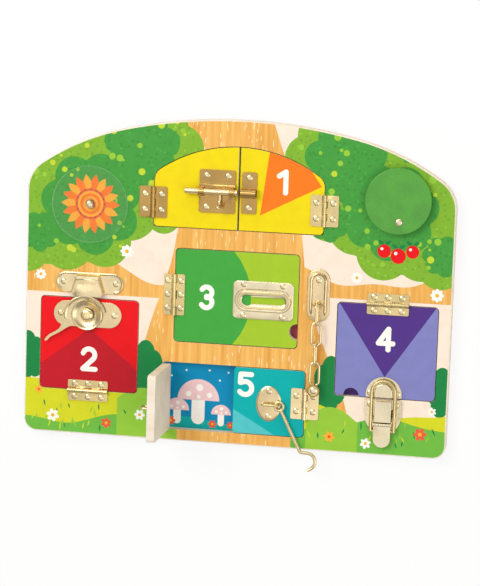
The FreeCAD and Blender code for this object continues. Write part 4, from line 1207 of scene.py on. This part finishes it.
# What glossy rays meet, as (how far up the sky, grey): bright low down and overhead, dark between
CARDS = ((0.0, 0.8), (0.3, 0.7), (0.42, 0.34), (0.72, 0.28), (0.86, 0.64), (0.93, 1.0))
CARD_TINT = (1.0, 0.96, 0.9)


def floor_material():
    """Pale and matt, and near white where the camera sees it."""
    mat = bpy.data.materials.new("floor")
    mat.use_nodes = True
    tree = mat.node_tree
    tree.nodes.clear()
    diffuse = add(tree, "BsdfDiffuse", {"Color": FLOOR_GREY})
    glow = add(tree, "Emission", {"Color": (1, 1, 1, 1), "Strength": 1.0})
    seen = math_of(tree, "MULTIPLY", add(tree, "LightPath").outputs["Is Camera Ray"], FLOOR_GLOW)
    blend = add(tree, "MixShader", {0: seen, 1: diffuse.outputs[0], 2: glow.outputs[0]})
    add(tree, "OutputMaterial", {"Surface": blend.outputs[0]})
    return mat


corners = rect(-FLOOR_HALF, -FLOOR_HALF, FLOOR_HALF, FLOOR_HALF)
floor = make_object("floor", [(x, y, FLOOR_Z) for x, y in corners], [(0, 1, 2, 3)], [])
floor.data.materials.append(floor_material())


def studio_world():
    """An even sky, stronger for camera and glossy rays; glossy rays meet the cards in it."""
    world = bpy.data.worlds.new("studio")
    world.use_nodes = True
    tree = world.node_tree
    rays = add(tree, "LightPath").outputs
    direct = math_of(tree, "MAXIMUM", rays["Is Camera Ray"], rays["Is Glossy Ray"])
    height = add(tree, "SeparateXYZ", {"Vector": add(tree, "TexCoord").outputs["Generated"]})
    cards = add(tree, "ValToRGB", {"Fac": height.outputs["Z"]})
    for stop, grey in CARDS:
        element = cards.color_ramp.elements.new(stop)
        element.color = [grey * tint for tint in CARD_TINT] + [1]
    mixed = {0: rays["Is Glossy Ray"], 6: SKY_PALE, 7: cards.outputs["Color"]}
    tone = add(tree, "Mix", mixed, data_type="RGBA")
    feed(tree, tree.nodes["Background"],
         {"Color": tone.outputs[2], "Strength": ranged(tree, direct, *SKY_STRENGTHS, (0.0, 1.0))})
    return world


bpy.context.scene.world = studio_world()


def area_light(name, place, size, power):
    """A rectangular lamp that faces the board's middle."""
    data = bpy.data.lights.new(name, "AREA")
    data.shape = "RECTANGLE"
    data.size, data.size_y = size
    data.energy = power
    lamp = in_scene(name, data)
    lamp.location = place
    lamp.rotation_mode = "QUATERNION"
    lamp.rotation_quaternion = (-Vector(place)).to_track_quat("-Z", "Y")


area_light("key", (-0.9, 0.9, 1.7), (1.1, 1.1), 19.0)
area_light("fill", (1.3, -0.5, 1.5), (1.4, 1.0), 8.0)
area_light("rim", (0.2, 1.7, 0.7), (1.8, 0.5), 5.0)

# The camera's own axes and its place in the frame, m
CAMERA_RIGHT = (0.98265, 0.03209, -0.18267)
CAMERA_UP = (-0.06017, 0.9868, -0.15033)
CAMERA_BACK = (0.17543, 0.15872, 0.97161)
CAMERA_PLACE = (0.3808, 0.33295, 2.099)
camera = in_scene("camera", bpy.data.cameras.new("camera"))
bpy.context.scene.camera = camera
camera_turn = Matrix((CAMERA_RIGHT, CAMERA_UP, CAMERA_BACK)).transposed().to_4x4()
camera.matrix_world = Matrix.Translation(CAMERA_PLACE) @ camera_turn
camera.data.sensor_fit = "VERTICAL"
camera.data.sensor_height = 36.0
camera.data.lens = 142.96
camera.data.clip_end = 50.0

bpy.context.scene.view_settings.view_transform = "Standard"
